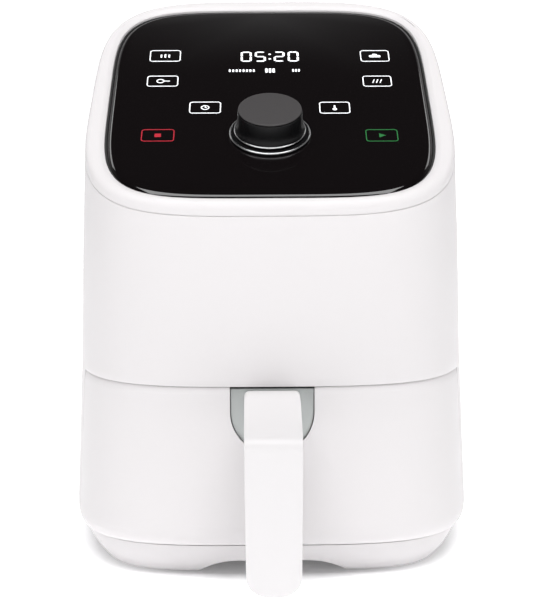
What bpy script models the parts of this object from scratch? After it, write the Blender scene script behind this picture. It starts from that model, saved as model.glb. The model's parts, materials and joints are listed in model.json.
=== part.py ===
"""Compact air fryer with a pull-out drawer, a sloped glass panel and a dial.

Every separate piece of the appliance is one object. Lengths are in metres, +Z is up and the drawer
opens towards -Y. Pieces are placed in the body's own frame: z = 0 is the table, x = y = 0 is the
middle of the body. The empty BODY_FRAME moves that frame, so that the origin ends up under the middle
of the whole appliance, handle and cord gland included.
"""
import math

import bmesh
import bpy
from mathutils import Matrix, Vector

# ---------------------------------------------------------------- driving dimensions
# Outer body: a rounded box that narrows upwards.
HALF_WIDTH = 0.1053
HALF_DEPTH = 0.1000
WIDEST_Z = 0.0280
SIDE_DRAFT = math.radians(2.5)
FRONT_DRAFT = math.radians(1.3)
BACK_DRAFT = math.radians(0.4)
WALL = 0.0025
BASE_SQUARENESS = 3.90
SEAM_SQUARENESS = 3.55
SHOULDER_SQUARENESS = 4.05
RING_POINTS = 48

# Heights, from the table upwards.
FOOT_PROUD = 0.0012
BASE_HEIGHT = 0.0165
SEAM_GAP = 0.0005
DRAWER_HEIGHT = 0.0833
HEADROOM = 0.1374
LOWER_EDGE_RISE = 0.0095
LOWER_EDGE_INSET = 0.0038
DRAWER_WRAP = 0.0420

# Base.
BASE_FOOT_HALF_WIDTH = 0.0888
BASE_FOOT_HALF_DEPTH = 0.0874
BASE_FOOT_SQUARENESS = 4.95
BASE_DECK = 0.0025
ARCH_HALF_WIDTH = 0.0385
ARCH_TOP_HALF_WIDTH = 0.0175
ARCH_HEIGHT = 0.0072
PAD_RADIUS = 0.0070
PAD_HEIGHT = 0.0030
PAD_INSET = 0.0240

# Sloped control panel.
PANEL_SLOPE = math.radians(25.9)
SIDE_LIP = 0.0095
FRONT_LIP = 0.0066
GLASS_SQUARENESS = 4.7
GLASS_THICKNESS = 0.0030
GLASS_BEVEL = 0.0008
LIP_RISE = 0.0014
LIP_CHAMFER = 0.0026
BEZEL_DROP = 0.0062
BEZEL_ROUND = 0.0032
LEDGE_DEPTH = 0.0040
LEDGE_WIDTH = 0.0040
LEDGE_THICKNESS = 0.0020
GASKET_WIDTH = 0.0008
CREASE_ROUND = 0.0009

# Dial, in the panel's own frame.
KNOB_S = -0.0396
KNOB_RADIUS = 0.0168
KNOB_FLARE = 0.0018
KNOB_TOP = 0.0157
KNOB_RING_RADIUS = 0.0212
KNOB_RING_HEIGHT = 0.0018
SHAFT_RADIUS = 0.0030
BUSHING_RADIUS = 0.0045

# Handle.
HANDLE_REACH = 0.0560
HANDLE_ROOT_HALF_WIDTH = 0.0140
HANDLE_TIP_HALF_WIDTH = 0.0129
HANDLE_TOP_DROP = 0.0018
HANDLE_TOP_SLOPE = math.radians(10.0)
HANDLE_NECK = 0.0180
HANDLE_GRIP = 0.0160
HANDLE_SHELL = 0.0080
HANDLE_BOTTOM_Z = 0.0122
HANDLE_CORNER = 0.0075
HANDLE_SCREW_RADIUS = 0.0017
HANDLE_SCREW_BITE = 0.0120
PLATE_HALF_WIDTH = 0.0209
PLATE_STRAIGHT = 0.0130
PLATE_RECESS = 0.0010
PLATE_THICKNESS = 0.0022
HANDLE_BRACKET_THICKNESS = 0.0022
SCREW_HEAD_HEIGHT = 0.0018
INNER_PANEL_THICKNESS = 0.0014

# Drawer: the pan with its crisper tray.
PAN_WALL = 0.0012
PAN_SQUARENESS = 3.6
PAN_DRAFT = 0.0030
PAN_FLANGE = 0.0028
PAN_FLANGE_DROP = 0.0030
PAN_FLANGE_THICKNESS = 0.0015
PAN_BOTTOM_GAP = 0.0028
PAN_SIDE_GAP = 0.0175
PAN_BACK_GAP = 0.0202
TRAY_LIFT = 0.0080
TRAY_THICKNESS = 0.0012
TRAY_RIM = 0.0032
TRAY_GAP = 0.0026
TRAY_HOLE_RADIUS = 0.0042
TRAY_HOLE_PITCH = 0.0240
TRAY_HOLE_ROWS = 5

# Cooking chamber above and around the drawer.
LINER_WALL = 0.0008
LINER_GAP = 0.0012
LINER_FLOOR_GAP = 0.0008
LINER_FRONT_TRIM = 0.0560
GUARD_Z = 0.0030
HEATER_Z = 0.0130
HEATER_TUBE_RADIUS = 0.0032
HEATER_SPACING = 0.0090
HEATER_END_ANGLE = 8.0
FAN_Z = 0.0205
FAN_BLADE_HEIGHT = 0.0095
FAN_BLADES = 8
REFLECTOR_Z = 0.0350
REFLECTOR_SKIRT = 0.0270
INSULATION_THICKNESS = 0.0055
LINER_RISE = 0.0425
DECK_THICKNESS = 0.0020
COOLING_FAN_RADIUS = 0.0300
COOLING_FAN_BLADES = 6
COOLING_FAN_HEIGHT = 0.0060
MOTOR_RADIUS = 0.0240
MOTOR_HEIGHT = 0.0215
MOTOR_SHAFT_RADIUS = 0.0025
BRACKET_HALF = 0.0320
BRACKET_THICKNESS = 0.0015
DUCT_HALF_WIDTH = 0.0400
DUCT_LOW = 0.0120
DUCT_HIGH = 0.0340
DUCT_WALL = 0.0010
GRILLE_MARGIN = 0.0040
GRILLE_SLOTS = 6

# Electrics.
BOARD_THICKNESS = 0.0016
BOARD_DEPTH = 0.0125
BOARD_MARGIN = 0.0100
GLAND_X = -0.0450
GLAND_Z = 0.0360
GLAND_RADIUS = 0.0061
GLAND_FLANGE_RADIUS = 0.0090
GLAND_PROUD = 0.0025
SWITCH_X = 0.0300
SWITCH_TRAVEL = 0.0030

# Clearances.
GAP = 0.0003
RUNNING_GAP = 0.0012

# ---------------------------------------------------------------- sizes that follow
BASE_TOP = FOOT_PROUD + BASE_HEIGHT
BODY_BOTTOM = BASE_TOP + SEAM_GAP
DRAWER_TOP = BODY_BOTTOM + DRAWER_HEIGHT
HOUSING_EDGE = DRAWER_TOP + SEAM_GAP
PANEL_Z = DRAWER_TOP + HEADROOM
SHOULDER_Z = PANEL_Z - 0.5 * HEADROOM + 0.5 * FRONT_LIP
WRAP_Y = -(HALF_DEPTH - DRAWER_WRAP)
HUGE = 2.0 * (HALF_WIDTH + HALF_DEPTH)


def half_width_at(z):
    return HALF_WIDTH - math.tan(SIDE_DRAFT) * (z - WIDEST_Z)


def front_depth_at(z):
    return HALF_DEPTH - math.tan(FRONT_DRAFT) * (z - WIDEST_Z)


def back_depth_at(z):
    return HALF_DEPTH - math.tan(BACK_DRAFT) * (z - WIDEST_Z)


# Layers behind the drawer's face: recess plate, steel bracket, screw heads, inner panel, pan.
INNER_PANEL_INSET = (PLATE_RECESS + PLATE_THICKNESS + GAP + HANDLE_BRACKET_THICKNESS + GAP
                     + SCREW_HEAD_HEIGHT + 2.0 * GAP)
PAN_FRONT_GAP = INNER_PANEL_INSET + INNER_PANEL_THICKNESS + 2.0 * GAP + PAN_FLANGE
PAN_HALF_WIDTH = half_width_at(DRAWER_TOP) - PAN_SIDE_GAP
PAN_FRONT = -(front_depth_at(DRAWER_TOP) - PAN_FRONT_GAP)
PAN_BACK = back_depth_at(DRAWER_TOP) - PAN_BACK_GAP
PAN_Y = 0.5 * (PAN_FRONT + PAN_BACK)
PAN_HALF_DEPTH = 0.5 * (PAN_BACK - PAN_FRONT)
PAN_BOTTOM = BODY_BOTTOM + PAN_BOTTOM_GAP
PAN_TOP = DRAWER_TOP - PAN_FLANGE_DROP
LINER_HALF_WIDTH = PAN_HALF_WIDTH + PAN_FLANGE + LINER_GAP + LINER_WALL
LINER_HALF_DEPTH = PAN_HALF_DEPTH + PAN_FLANGE + LINER_GAP + LINER_WALL
LINER_TOP = DRAWER_TOP + LINER_RISE
CHAMBER_RADIUS = min(LINER_HALF_WIDTH, LINER_HALF_DEPTH) - 0.0036
HEATER_RADIUS = CHAMBER_RADIUS - 0.0145
HEATER_INNER_RADIUS = HEATER_RADIUS - HEATER_SPACING
FAN_RADIUS = HEATER_INNER_RADIUS - HEATER_TUBE_RADIUS - 0.0035
DECK_Z = LINER_TOP + GAP
DECK_TOP = DECK_Z + DECK_THICKNESS
BRACKET_Z = DECK_TOP + COOLING_FAN_HEIGHT + 0.0060
MOTOR_Z = BRACKET_Z + BRACKET_THICKNESS + GAP
PANEL_HALF_WIDTH = half_width_at(PANEL_Z) - SIDE_LIP
PANEL_HALF_LENGTH = (front_depth_at(PANEL_Z) - FRONT_LIP) / math.cos(PANEL_SLOPE)
LIP_Z = PANEL_Z + LIP_RISE / math.cos(PANEL_SLOPE)
CREASE_Z = LIP_Z - BEZEL_DROP
HANDLE_TOP_Z = DRAWER_TOP - HANDLE_TOP_DROP
PLATE_FACE_Y = -(front_depth_at(HANDLE_TOP_Z) - PLATE_RECESS)
HANDLE_ROOT_Y = PLATE_FACE_Y - GAP
HANDLE_FRONT_Y = -(front_depth_at(HANDLE_TOP_Z) + HANDLE_REACH)
GLAND_BACK_Y = HALF_DEPTH + GLAND_PROUD
BODY_SHIFT_Y = -0.5 * (HANDLE_FRONT_Y + GLAND_BACK_Y)

PARTS = "air_fryer"
CUTTERS = "cutters"


# ---------------------------------------------------------------- scene, materials, frames
def clear_scene():
    for thing in list(bpy.data.objects):
        bpy.data.objects.remove(thing, do_unlink=True)


def make_collection(name):
    collection = bpy.data.collections.new(name)
    bpy.context.scene.collection.children.link(collection)
    return collection


def material(name, color, roughness, metallic=0.0):
    found = bpy.data.materials.get(name)
    if found:
        return found
    made = bpy.data.materials.new(name)
    made.use_nodes = True
    shader = made.node_tree.nodes["Principled BSDF"]
    shader.inputs["Base Color"].default_value = (*color, 1.0)
    shader.inputs["Roughness"].default_value = roughness
    shader.inputs["Metallic"].default_value = metallic
    return made


def white_plastic():
    return material("white_plastic", (0.86, 0.85, 0.86), 0.35)


def grey_plastic():
    return material("grey_plastic", (0.38, 0.39, 0.39), 0.45)


def black_plastic():
    return material("black_plastic", (0.02, 0.02, 0.022), 0.30)


def black_glass():
    return material("black_glass", (0.006, 0.006, 0.007), 0.05)


def dial_grey():
    return material("dial_grey", (0.06, 0.055, 0.056), 0.50)


def nonstick():
    return material("nonstick_coating", (0.03, 0.03, 0.032), 0.45, 0.3)


def sheet_metal():
    return material("sheet_metal", (0.62, 0.62, 0.63), 0.35, 1.0)


def bare_steel():
    return material("bare_steel", (0.70, 0.70, 0.71), 0.28, 1.0)


def rubber():
    return material("rubber", (0.05, 0.05, 0.05), 0.85)


def circuit_board():
    return material("circuit_board", (0.05, 0.20, 0.10), 0.50)


def mineral_wool():
    return material("mineral_wool", (0.62, 0.58, 0.48), 0.95)


def empty(name, location, parent=None, rotation=(0.0, 0.0, 0.0)):
    frame = bpy.data.objects.new(name, None)
    bpy.data.collections[PARTS].objects.link(frame)
    frame.location = location
    frame.rotation_euler = rotation
    frame.parent = parent
    return frame


def add_part(name, mesh, surface, parent, location=(0.0, 0.0, 0.0), rotation=(0.0, 0.0, 0.0)):
    part = bpy.data.objects.new(name, mesh)
    bpy.data.collections[PARTS].objects.link(part)
    part.parent = parent
    part.location = location
    part.rotation_euler = rotation
    part.data.materials.clear()
    part.data.materials.append(surface)
    return part


def add_cutter(name, mesh, parent, location=(0.0, 0.0, 0.0)):
    cutter = bpy.data.objects.new(name, mesh)
    bpy.data.collections[CUTTERS].objects.link(cutter)
    cutter.parent = parent
    cutter.location = location
    cutter.hide_render = True
    cutter.display_type = "WIRE"
    return cutter


def combine(part, other, operation="DIFFERENCE"):
    boolean = part.modifiers.new(operation.lower(), "BOOLEAN")
    boolean.operation = operation
    boolean.solver = "EXACT"
    boolean.object = other
    return part


# ---------------------------------------------------------------- meshes
def mesh_from(name, build):
    """A new mesh that the function build fills through a bmesh."""
    made = bmesh.new()
    build(made)
    bmesh.ops.recalc_face_normals(made, faces=made.faces)
    mesh = bpy.data.meshes.new(name)
    made.to_mesh(mesh)
    made.free()
    return mesh


def smooth(part, angle=35.0):
    part.data.shade_smooth()
    part.data.set_sharp_from_angle(angle=math.radians(angle))
    return part


def box_mesh(name, low, high):
    low, high = Vector(low), Vector(high)
    size = high - low
    place = Matrix.Translation((low + high) / 2) @ Matrix.Diagonal((*size, 1.0))
    return mesh_from(name, lambda made: bmesh.ops.create_cube(made, size=1.0, matrix=place))


def boxes_mesh(name, corner_pairs):
    def build(made):
        for low, high in corner_pairs:
            low, high = Vector(low), Vector(high)
            place = Matrix.Translation((low + high) / 2) @ Matrix.Diagonal((*(high - low), 1.0))
            bmesh.ops.create_cube(made, size=1.0, matrix=place)
    return mesh_from(name, build)


def rods_mesh(name, rods, segments=12):
    """Round rods in one mesh; each is (start, end, radius) or (start, end, radius, end radius)."""
    def build(made):
        for start, end, radius, *other in rods:
            start, end = Vector(start), Vector(end)
            run = end - start
            turn = run.to_track_quat("Z", "Y").to_matrix().to_4x4()
            place = Matrix.Translation((start + end) / 2) @ turn
            bmesh.ops.create_cone(made, cap_ends=True, segments=segments, radius1=radius,
                                  radius2=other[0] if other else radius, depth=run.length, matrix=place)
    return mesh_from(name, build)


def loft_mesh(name, rings, ring_shaped=False):
    """Skin through rings of equal length: capped at both ends, or joined into a ring-shaped body."""
    def build(made):
        rows = [[made.verts.new(point) for point in ring] for ring in rings]
        count = len(rows[0])
        pairs = list(zip(rows, rows[1:]))
        if ring_shaped:
            pairs.append((rows[-1], rows[0]))
        else:
            made.faces.new(rows[0])
            made.faces.new(rows[-1])
        for lower, upper in pairs:
            for i in range(count):
                j = (i + 1) % count
                made.faces.new((lower[i], lower[j], upper[j], upper[i]))
    return mesh_from(name, build)


def prism_mesh(name, outline, half_thickness, turn, location=(0.0, 0.0, 0.0)):
    """A flat outline as a filled 2D curve, thickened both ways, turned and welded into a mesh."""
    curve = bpy.data.curves.new(name, "CURVE")
    curve.dimensions = "2D"
    curve.fill_mode = "BOTH"
    curve.extrude = half_thickness
    spline = curve.splines.new("POLY")
    spline.points.add(len(outline) - 1)
    for point, (u, v) in zip(spline.points, outline):
        point.co = (u, v, 0.0, 1.0)
    spline.use_cyclic_u = True
    holder = bpy.data.objects.new(name, curve)
    bpy.context.scene.collection.objects.link(holder)
    seen = holder.evaluated_get(bpy.context.evaluated_depsgraph_get())
    mesh = bpy.data.meshes.new_from_object(seen)
    bpy.data.objects.remove(holder, do_unlink=True)
    welded = bmesh.new()
    welded.from_mesh(mesh)
    bmesh.ops.remove_doubles(welded, verts=welded.verts, dist=1e-6)
    bmesh.ops.transform(welded, matrix=Matrix.Translation(location) @ turn, verts=welded.verts)
    bmesh.ops.recalc_face_normals(welded, faces=welded.faces)
    welded.to_mesh(mesh)
    welded.free()
    return mesh


# An outline drawn in (y, z) and thickened along x, and one drawn in (x, z) and thickened along y.
SIDE_VIEW = Matrix(((0, 0, 1, 0), (1, 0, 0, 0), (0, 1, 0, 0), (0, 0, 0, 1)))
FRONT_VIEW = Matrix(((1, 0, 0, 0), (0, 0, 1, 0), (0, 1, 0, 0), (0, 0, 0, 1)))


def turned_part(name, profile, surface, parent, location=(0.0, 0.0, 0.0), steps=32, closed=True,
                rotation=(0.0, 0.0, 0.0)):
    """A turned piece: its half section (radius, height), outer side first from the top down."""
    mesh = bpy.data.meshes.new(name)
    count = len(profile)
    edges = [(i, i + 1) for i in range(count - 1)]
    if closed:
        edges.append((count - 1, 0))
    mesh.from_pydata([(radius, 0.0, z) for radius, z in profile], edges, [])
    part = add_part(name, mesh, surface, parent, location, rotation)
    screw = part.modifiers.new("turn", "SCREW")
    screw.angle = 2.0 * math.pi
    screw.steps = steps
    screw.render_steps = steps
    screw.axis = "Z"
    screw.use_merge_vertices = True
    screw.merge_threshold = 0.00001
    screw.use_smooth_shade = True
    return part


def screw_part(name, head_radius, head_height, shank_radius, length, parent, location, rotation=(0, 0, 0)):
    """A pan-head screw: its head's outer face at the origin, its shank pointing up +Z."""
    profile = [(0.0, length), (shank_radius, length), (shank_radius, head_height),
               (head_radius, head_height), (head_radius, 0.0), (0.0, 0.0)]
    return turned_part(name, profile, bare_steel(), parent, location, 12, False, rotation)


def tube_mesh(name, points, radius, resolution=2):
    """A round tube along points, with welded caps."""
    curve = bpy.data.curves.new(name, "CURVE")
    curve.dimensions = "3D"
    curve.bevel_depth = radius
    curve.bevel_resolution = resolution
    curve.use_fill_caps = True
    spline = curve.splines.new("POLY")
    spline.points.add(len(points) - 1)
    for point, place in zip(spline.points, points):
        point.co = (*place, 1.0)
    holder = bpy.data.objects.new(name, curve)
    bpy.context.scene.collection.objects.link(holder)
    seen = holder.evaluated_get(bpy.context.evaluated_depsgraph_get())
    mesh = bpy.data.meshes.new_from_object(seen)
    bpy.data.objects.remove(holder, do_unlink=True)
    welded = bmesh.new()
    welded.from_mesh(mesh)
    bmesh.ops.remove_doubles(welded, verts=welded.verts, dist=1e-6)
    bmesh.ops.recalc_face_normals(welded, faces=welded.faces)
    welded.to_mesh(mesh)
    welded.free()
    return mesh


# ---------------------------------------------------------------- outlines
def signed_power(value, power):
    return math.copysign(abs(value) ** power, value)


def rounded_ring(half_x, low_y, high_y, squareness, count=RING_POINTS):
    """Points (x, y) round a box with soft corners, a superellipse, between low_y and high_y."""
    middle = 0.5 * (low_y + high_y)
    half_y = 0.5 * (high_y - low_y)
    points = []
    for i in range(count):
        angle = 2.0 * math.pi * (i + 0.5) / count
        x = half_x * signed_power(math.cos(angle), 2.0 / squareness)
        y = middle + half_y * signed_power(math.sin(angle), 2.0 / squareness)
        points.append((x, y))
    return points


def squareness_at(z):
    """How square the body's corners are: softest at the seam above the drawer."""
    if z < DRAWER_TOP:
        share = (z - BASE_TOP) / (DRAWER_TOP - BASE_TOP)
        return BASE_SQUARENESS + share * (SEAM_SQUARENESS - BASE_SQUARENESS)
    share = min((z - DRAWER_TOP) / (SHOULDER_Z - DRAWER_TOP), 1.0)
    return SEAM_SQUARENESS + share * (SHOULDER_SQUARENESS - SEAM_SQUARENESS)


def wall_ring(z, inset=0.0):
    """The body's outer wall at one height, moved inwards by inset."""
    ring = rounded_ring(half_width_at(z) - inset, inset - front_depth_at(z),
                        back_depth_at(z) - inset, squareness_at(z))
    return [(x, y, z) for x, y in ring]


def sloped_wall_ring(axis_z, inset=0.0):
    """Where the wall meets a plane parallel to the panel that crosses the middle at axis_z."""
    rise = math.tan(PANEL_SLOPE)
    points = []
    for i in range(RING_POINTS):
        z = axis_z
        for _ in range(12):
            x, y, _ = wall_ring(z, inset)[i]
            z = axis_z + y * rise
        points.append((x, y, z))
    return points


PANEL_TURN = Matrix.Translation((0.0, 0.0, PANEL_Z)) @ Matrix.Rotation(PANEL_SLOPE, 4, "X")


def opening_ring(offset, height):
    """The panel opening grown by offset, at a height along the panel's normal, in the body's frame."""
    ring = rounded_ring(PANEL_HALF_WIDTH + offset, -PANEL_HALF_LENGTH - offset,
                        PANEL_HALF_LENGTH + offset, GLASS_SQUARENESS)
    return [tuple(PANEL_TURN @ Vector((x, y, height))) for x, y in ring]


def panel_ring(offset, height):
    """The same ring in the panel's own frame."""
    ring = rounded_ring(PANEL_HALF_WIDTH + offset, -PANEL_HALF_LENGTH - offset,
                        PANEL_HALF_LENGTH + offset, GLASS_SQUARENESS)
    return [(x, y, height) for x, y in ring]


def pan_ring(z, offset=0.0):
    """The pan's outer wall at one height, grown by offset; it narrows towards its bottom."""
    share = (PAN_TOP - z) / (PAN_TOP - PAN_BOTTOM)
    grow = offset - PAN_DRAFT * share
    ring = rounded_ring(PAN_HALF_WIDTH + grow, PAN_Y - PAN_HALF_DEPTH - grow,
                        PAN_Y + PAN_HALF_DEPTH + grow, PAN_SQUARENESS)
    return [(x, y, z) for x, y in ring]


def liner_ring(z, offset=0.0):
    ring = rounded_ring(LINER_HALF_WIDTH + offset, PAN_Y - LINER_HALF_DEPTH - offset,
                        PAN_Y + LINER_HALF_DEPTH + offset, PAN_SQUARENESS)
    return [(x, y, z) for x, y in ring]


def arc(center, radius, start, end, steps):
    """Points on an arc between two angles in degrees, both ends included."""
    points = []
    for i in range(steps + 1):
        angle = math.radians(start + (end - start) * i / steps)
        points.append((center[0] + radius * math.cos(angle), center[1] + radius * math.sin(angle)))
    return points


# ---------------------------------------------------------------- outer shells
def shell_rings(low, high, inset, thickness, low_round, high_round):
    """Rings of a hollow wall band: outside going up, inside coming down.

    low_round and high_round are (rise, inset) of the rounded outer edges.
    """
    outside = []
    for share in (0.0, 0.34, 0.67):
        angle = 0.5 * math.pi * share
        outside.append(wall_ring(low + low_round[0] * (1.0 - math.cos(angle)),
                                 inset + low_round[1] * (1.0 - math.sin(angle))))
    start = low + low_round[0]
    end = high - high_round[0]
    outside += [wall_ring(start + (end - start) * share, inset) for share in (0.0, 0.5, 1.0)]
    outside.append(wall_ring(high - 0.3 * high_round[0], inset + 0.35 * high_round[1]))
    outside.append(wall_ring(high, inset + high_round[1]))
    deep = inset + thickness
    inside = [wall_ring(high, max(deep, inset + high_round[1] + 0.5 * thickness))]
    inside.append(wall_ring(0.5 * (low + high), deep))
    inside.append(wall_ring(low, max(deep, inset + low_round[1] + 0.5 * thickness)))
    return outside + inside


def drawer_zone(name, body, grow=0.0, top=None):
    """The block of space that the drawer front takes at the front of the body."""
    high = (HUGE, WRAP_Y + grow, top if top else HOUSING_EDGE)
    return add_cutter(name, box_mesh(name, (-HUGE, -HUGE, -HUGE), high), body)


def make_housing(body):
    """Upper body in one moulding: full height at the sides and back, above the drawer in front."""
    low_edge = (0.0, 0.34, 0.67)
    outside = []
    for share in low_edge:
        angle = 0.5 * math.pi * share
        outside.append(wall_ring(BODY_BOTTOM + LOWER_EDGE_RISE * (1.0 - math.cos(angle)),
                                 LOWER_EDGE_INSET * (1.0 - math.sin(angle))))
    last = min(point[2] for point in sloped_wall_ring(CREASE_Z))
    levels = (BODY_BOTTOM + LOWER_EDGE_RISE, 0.5 * (BODY_BOTTOM + DRAWER_TOP), HOUSING_EDGE,
              HOUSING_EDGE + 0.5 * (last - HOUSING_EDGE), HOUSING_EDGE + 0.9 * (last - HOUSING_EDGE))
    outside += [wall_ring(z) for z in levels]
    top = CREASE_Z - GAP
    outside.append(sloped_wall_ring(top - CREASE_ROUND))
    outside.append(sloped_wall_ring(top, CREASE_ROUND))
    inside = [sloped_wall_ring(top, WALL)]
    inside += [wall_ring(z, WALL) for z in reversed(levels)]
    inside.append(wall_ring(BODY_BOTTOM, LOWER_EDGE_INSET + 0.5 * WALL))
    mesh = loft_mesh("housing", outside + inside, ring_shaped=True)
    housing = smooth(add_part("housing", mesh, white_plastic(), body))
    combine(housing, drawer_zone("housing_front_cut", body, GAP))
    combine(housing, grille_zone("grille_opening", body, 0.0))
    hole = rods_mesh("gland_hole", [((GLAND_X, HALF_DEPTH - 0.012, GLAND_Z),
                                     (GLAND_X, HALF_DEPTH + 0.01, GLAND_Z), GLAND_RADIUS + GAP)])
    return combine(housing, add_cutter("gland_hole", hole, body))


def grille_zone(name, body, shrink):
    half = DUCT_HALF_WIDTH + GRILLE_MARGIN - shrink
    low = DRAWER_TOP + DUCT_LOW - GRILLE_MARGIN + shrink
    high = DRAWER_TOP + DUCT_HIGH + GRILLE_MARGIN - shrink
    return add_cutter(name, box_mesh(name, (-half, 0.5 * HALF_DEPTH, low), (half, HUGE, high)), body)


def make_rear_grille(body):
    """Curved vent panel in the back wall, over the end of the exhaust duct."""
    low = DRAWER_TOP + DUCT_LOW - GRILLE_MARGIN
    high = DRAWER_TOP + DUCT_HIGH + GRILLE_MARGIN
    rings = [wall_ring(low - 0.01, GAP), wall_ring(high + 0.01, GAP),
             wall_ring(high + 0.01, WALL), wall_ring(low - 0.01, WALL)]
    grille = add_part("rear_grille", loft_mesh("rear_grille", rings, ring_shaped=True),
                      grey_plastic(), body)
    combine(grille, grille_zone("grille_outline", body, GAP), "INTERSECT")
    pitch = (high - low) / (GRILLE_SLOTS + 1)
    half = DUCT_HALF_WIDTH - DUCT_WALL - GAP
    slots = []
    for i in range(GRILLE_SLOTS):
        middle = low + pitch * (i + 1)
        slots.append(((-half, 0.5 * HALF_DEPTH, middle - 0.28 * pitch),
                      (half, HUGE, middle + 0.28 * pitch)))
    return combine(grille, add_cutter("grille_slots", boxes_mesh("grille_slots", slots), body))


def base_ring(z, inset=0.0):
    """The base's outer side: it narrows towards the table in a slightly bulging line."""
    share = (BASE_TOP - z) / BASE_HEIGHT
    bulge = 0.0012 * math.sin(math.pi * share)
    seam = LOWER_EDGE_INSET + 0.0003
    blend = lambda top, foot: top + share * (foot - top) + bulge - inset
    half_x = blend(half_width_at(BASE_TOP) - seam, BASE_FOOT_HALF_WIDTH)
    front = blend(front_depth_at(BASE_TOP) - seam, BASE_FOOT_HALF_DEPTH)
    back = blend(back_depth_at(BASE_TOP) - seam, BASE_FOOT_HALF_DEPTH)
    squareness = BASE_SQUARENESS + share * (BASE_FOOT_SQUARENESS - BASE_SQUARENESS)
    return [(x, y, z) for x, y in rounded_ring(half_x, -front, back, squareness)]


def foot_places():
    x = BASE_FOOT_HALF_WIDTH - PAD_INSET
    y = BASE_FOOT_HALF_DEPTH - PAD_INSET
    return [(side * x, end * y) for side in (-1, 1) for end in (-1, 1)]


def screw_places():
    """Base screws sit in the corner blocks, beside the rubber pads."""
    x = BASE_FOOT_HALF_WIDTH - PAD_INSET + 0.0045
    y = BASE_FOOT_HALF_DEPTH - PAD_INSET - 0.0125
    return [(side * x, end * y) for side in (-1, 1) for end in (-1, 1)]


def make_base(body):
    """Base moulding: solid corner blocks, hollow between them, with an arch in front and behind."""
    heights = [FOOT_PROUD, FOOT_PROUD + 0.0010, FOOT_PROUD + 0.30 * BASE_HEIGHT,
               FOOT_PROUD + 0.65 * BASE_HEIGHT, BASE_TOP]
    insets = [0.0010, 0.0, 0.0, 0.0, 0.0]
    mesh = loft_mesh("base", [base_ring(z, inset) for z, inset in zip(heights, insets)])
    base = smooth(add_part("base", mesh, white_plastic(), body))
    block_x = BASE_FOOT_HALF_WIDTH - 2.0 * PAD_INSET
    block_y = BASE_FOOT_HALF_DEPTH - 2.0 * PAD_INSET
    wide_x = BASE_FOOT_HALF_WIDTH - 0.0075
    wide_y = BASE_FOOT_HALF_DEPTH - 0.0075
    deck = BASE_TOP - BASE_DECK
    cross = [((-block_x, -wide_y, -0.01), (block_x, wide_y, deck))]
    combine(base, add_cutter("base_hollow_long", boxes_mesh("base_hollow_long", cross), body))
    cross = [((-wide_x, -block_y, -0.01), (wide_x, block_y, deck))]
    combine(base, add_cutter("base_hollow_wide", boxes_mesh("base_hollow_wide", cross), body))
    rise = FOOT_PROUD + ARCH_HEIGHT
    curve = [(ARCH_HALF_WIDTH - (ARCH_HALF_WIDTH - ARCH_TOP_HALF_WIDTH) * t,
              FOOT_PROUD + ARCH_HEIGHT * (3.0 * t * t - 2.0 * t ** 3)) for t in
             (0.12, 0.25, 0.4, 0.55, 0.7, 0.85)]
    right = [(ARCH_HALF_WIDTH + 0.001, -0.01), (ARCH_HALF_WIDTH, FOOT_PROUD)] + curve
    right.append((ARCH_TOP_HALF_WIDTH, rise))
    outline = right + [(-x, z) for x, z in reversed(right)]
    arch = prism_mesh("base_arch", outline, HUGE, FRONT_VIEW)
    combine(base, add_cutter("base_arch", arch, body))
    pockets = [((x, y, -0.01), (x, y, PAD_HEIGHT + GAP), PAD_RADIUS + GAP) for x, y in foot_places()]
    holes = []
    for x, y in screw_places():
        holes.append(((x, y, -0.01), (x, y, 0.0058), 0.0036))
    combine(base, add_cutter("pad_pockets", rods_mesh("pad_pockets", pockets), body))
    combine(base, add_cutter("screw_counterbores", rods_mesh("screw_counterbores", holes), body))
    shanks = [((x, y, 0.004), (x, y, BASE_TOP + 0.01), 0.0021) for x, y in screw_places()]
    return combine(base, add_cutter("screw_holes", rods_mesh("screw_holes", shanks, 12), body))


def make_rubber_feet(body):
    pad = rods_mesh("rubber_foot", [((0.0, 0.0, 0.0), (0.0, 0.0, PAD_HEIGHT), PAD_RADIUS - 0.0006,
                                     PAD_RADIUS)])
    for i, (x, y) in enumerate(foot_places()):
        add_part("rubber_foot_%d" % (i + 1), pad, rubber(), body, (x, y, 0.0))


def make_base_screws(body):
    """Screws that hold the base to the housing, heads in the counterbores."""
    head_z = 0.0036
    for i, (x, y) in enumerate(screw_places()):
        screw_part("base_screw_%d" % (i + 1), 0.0033, 0.0019, 0.0018, BASE_TOP - 0.0006 - head_z, body,
                   (x, y, head_z))


# ---------------------------------------------------------------- sloped panel
def make_panel_bezel(body):
    """White frame round the glass: rounded outside edge, sloped inner lip, ledge and locating skirt."""
    rings = []
    for angle in (0.0, 30.0, 60.0, 90.0):
        turn = math.radians(angle)
        rings.append(sloped_wall_ring(LIP_Z - BEZEL_ROUND * (1.0 - math.cos(turn)),
                                      BEZEL_ROUND * (1.0 - math.sin(turn))))
    rings.append(sloped_wall_ring(CREASE_Z + CREASE_ROUND))
    rings.append(sloped_wall_ring(CREASE_Z, CREASE_ROUND))
    skirt = WALL + GAP
    rings.append(sloped_wall_ring(CREASE_Z, skirt))
    bottom = -LEDGE_DEPTH - LEDGE_THICKNESS
    skirt_z = PANEL_Z + bottom / math.cos(PANEL_SLOPE)
    rings.append(sloped_wall_ring(skirt_z, skirt + 0.0004))
    rings.append(opening_ring(-LEDGE_WIDTH, bottom))
    rings.append(opening_ring(-LEDGE_WIDTH, -LEDGE_DEPTH))
    rings.append(opening_ring(0.0, -LEDGE_DEPTH))
    rings.append(opening_ring(0.0, 0.0))
    rings.append(opening_ring(LIP_CHAMFER, LIP_RISE))
    mesh = loft_mesh("panel_bezel", rings, ring_shaped=True)
    return smooth(add_part("panel_bezel", mesh, white_plastic(), body), 50.0)


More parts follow.
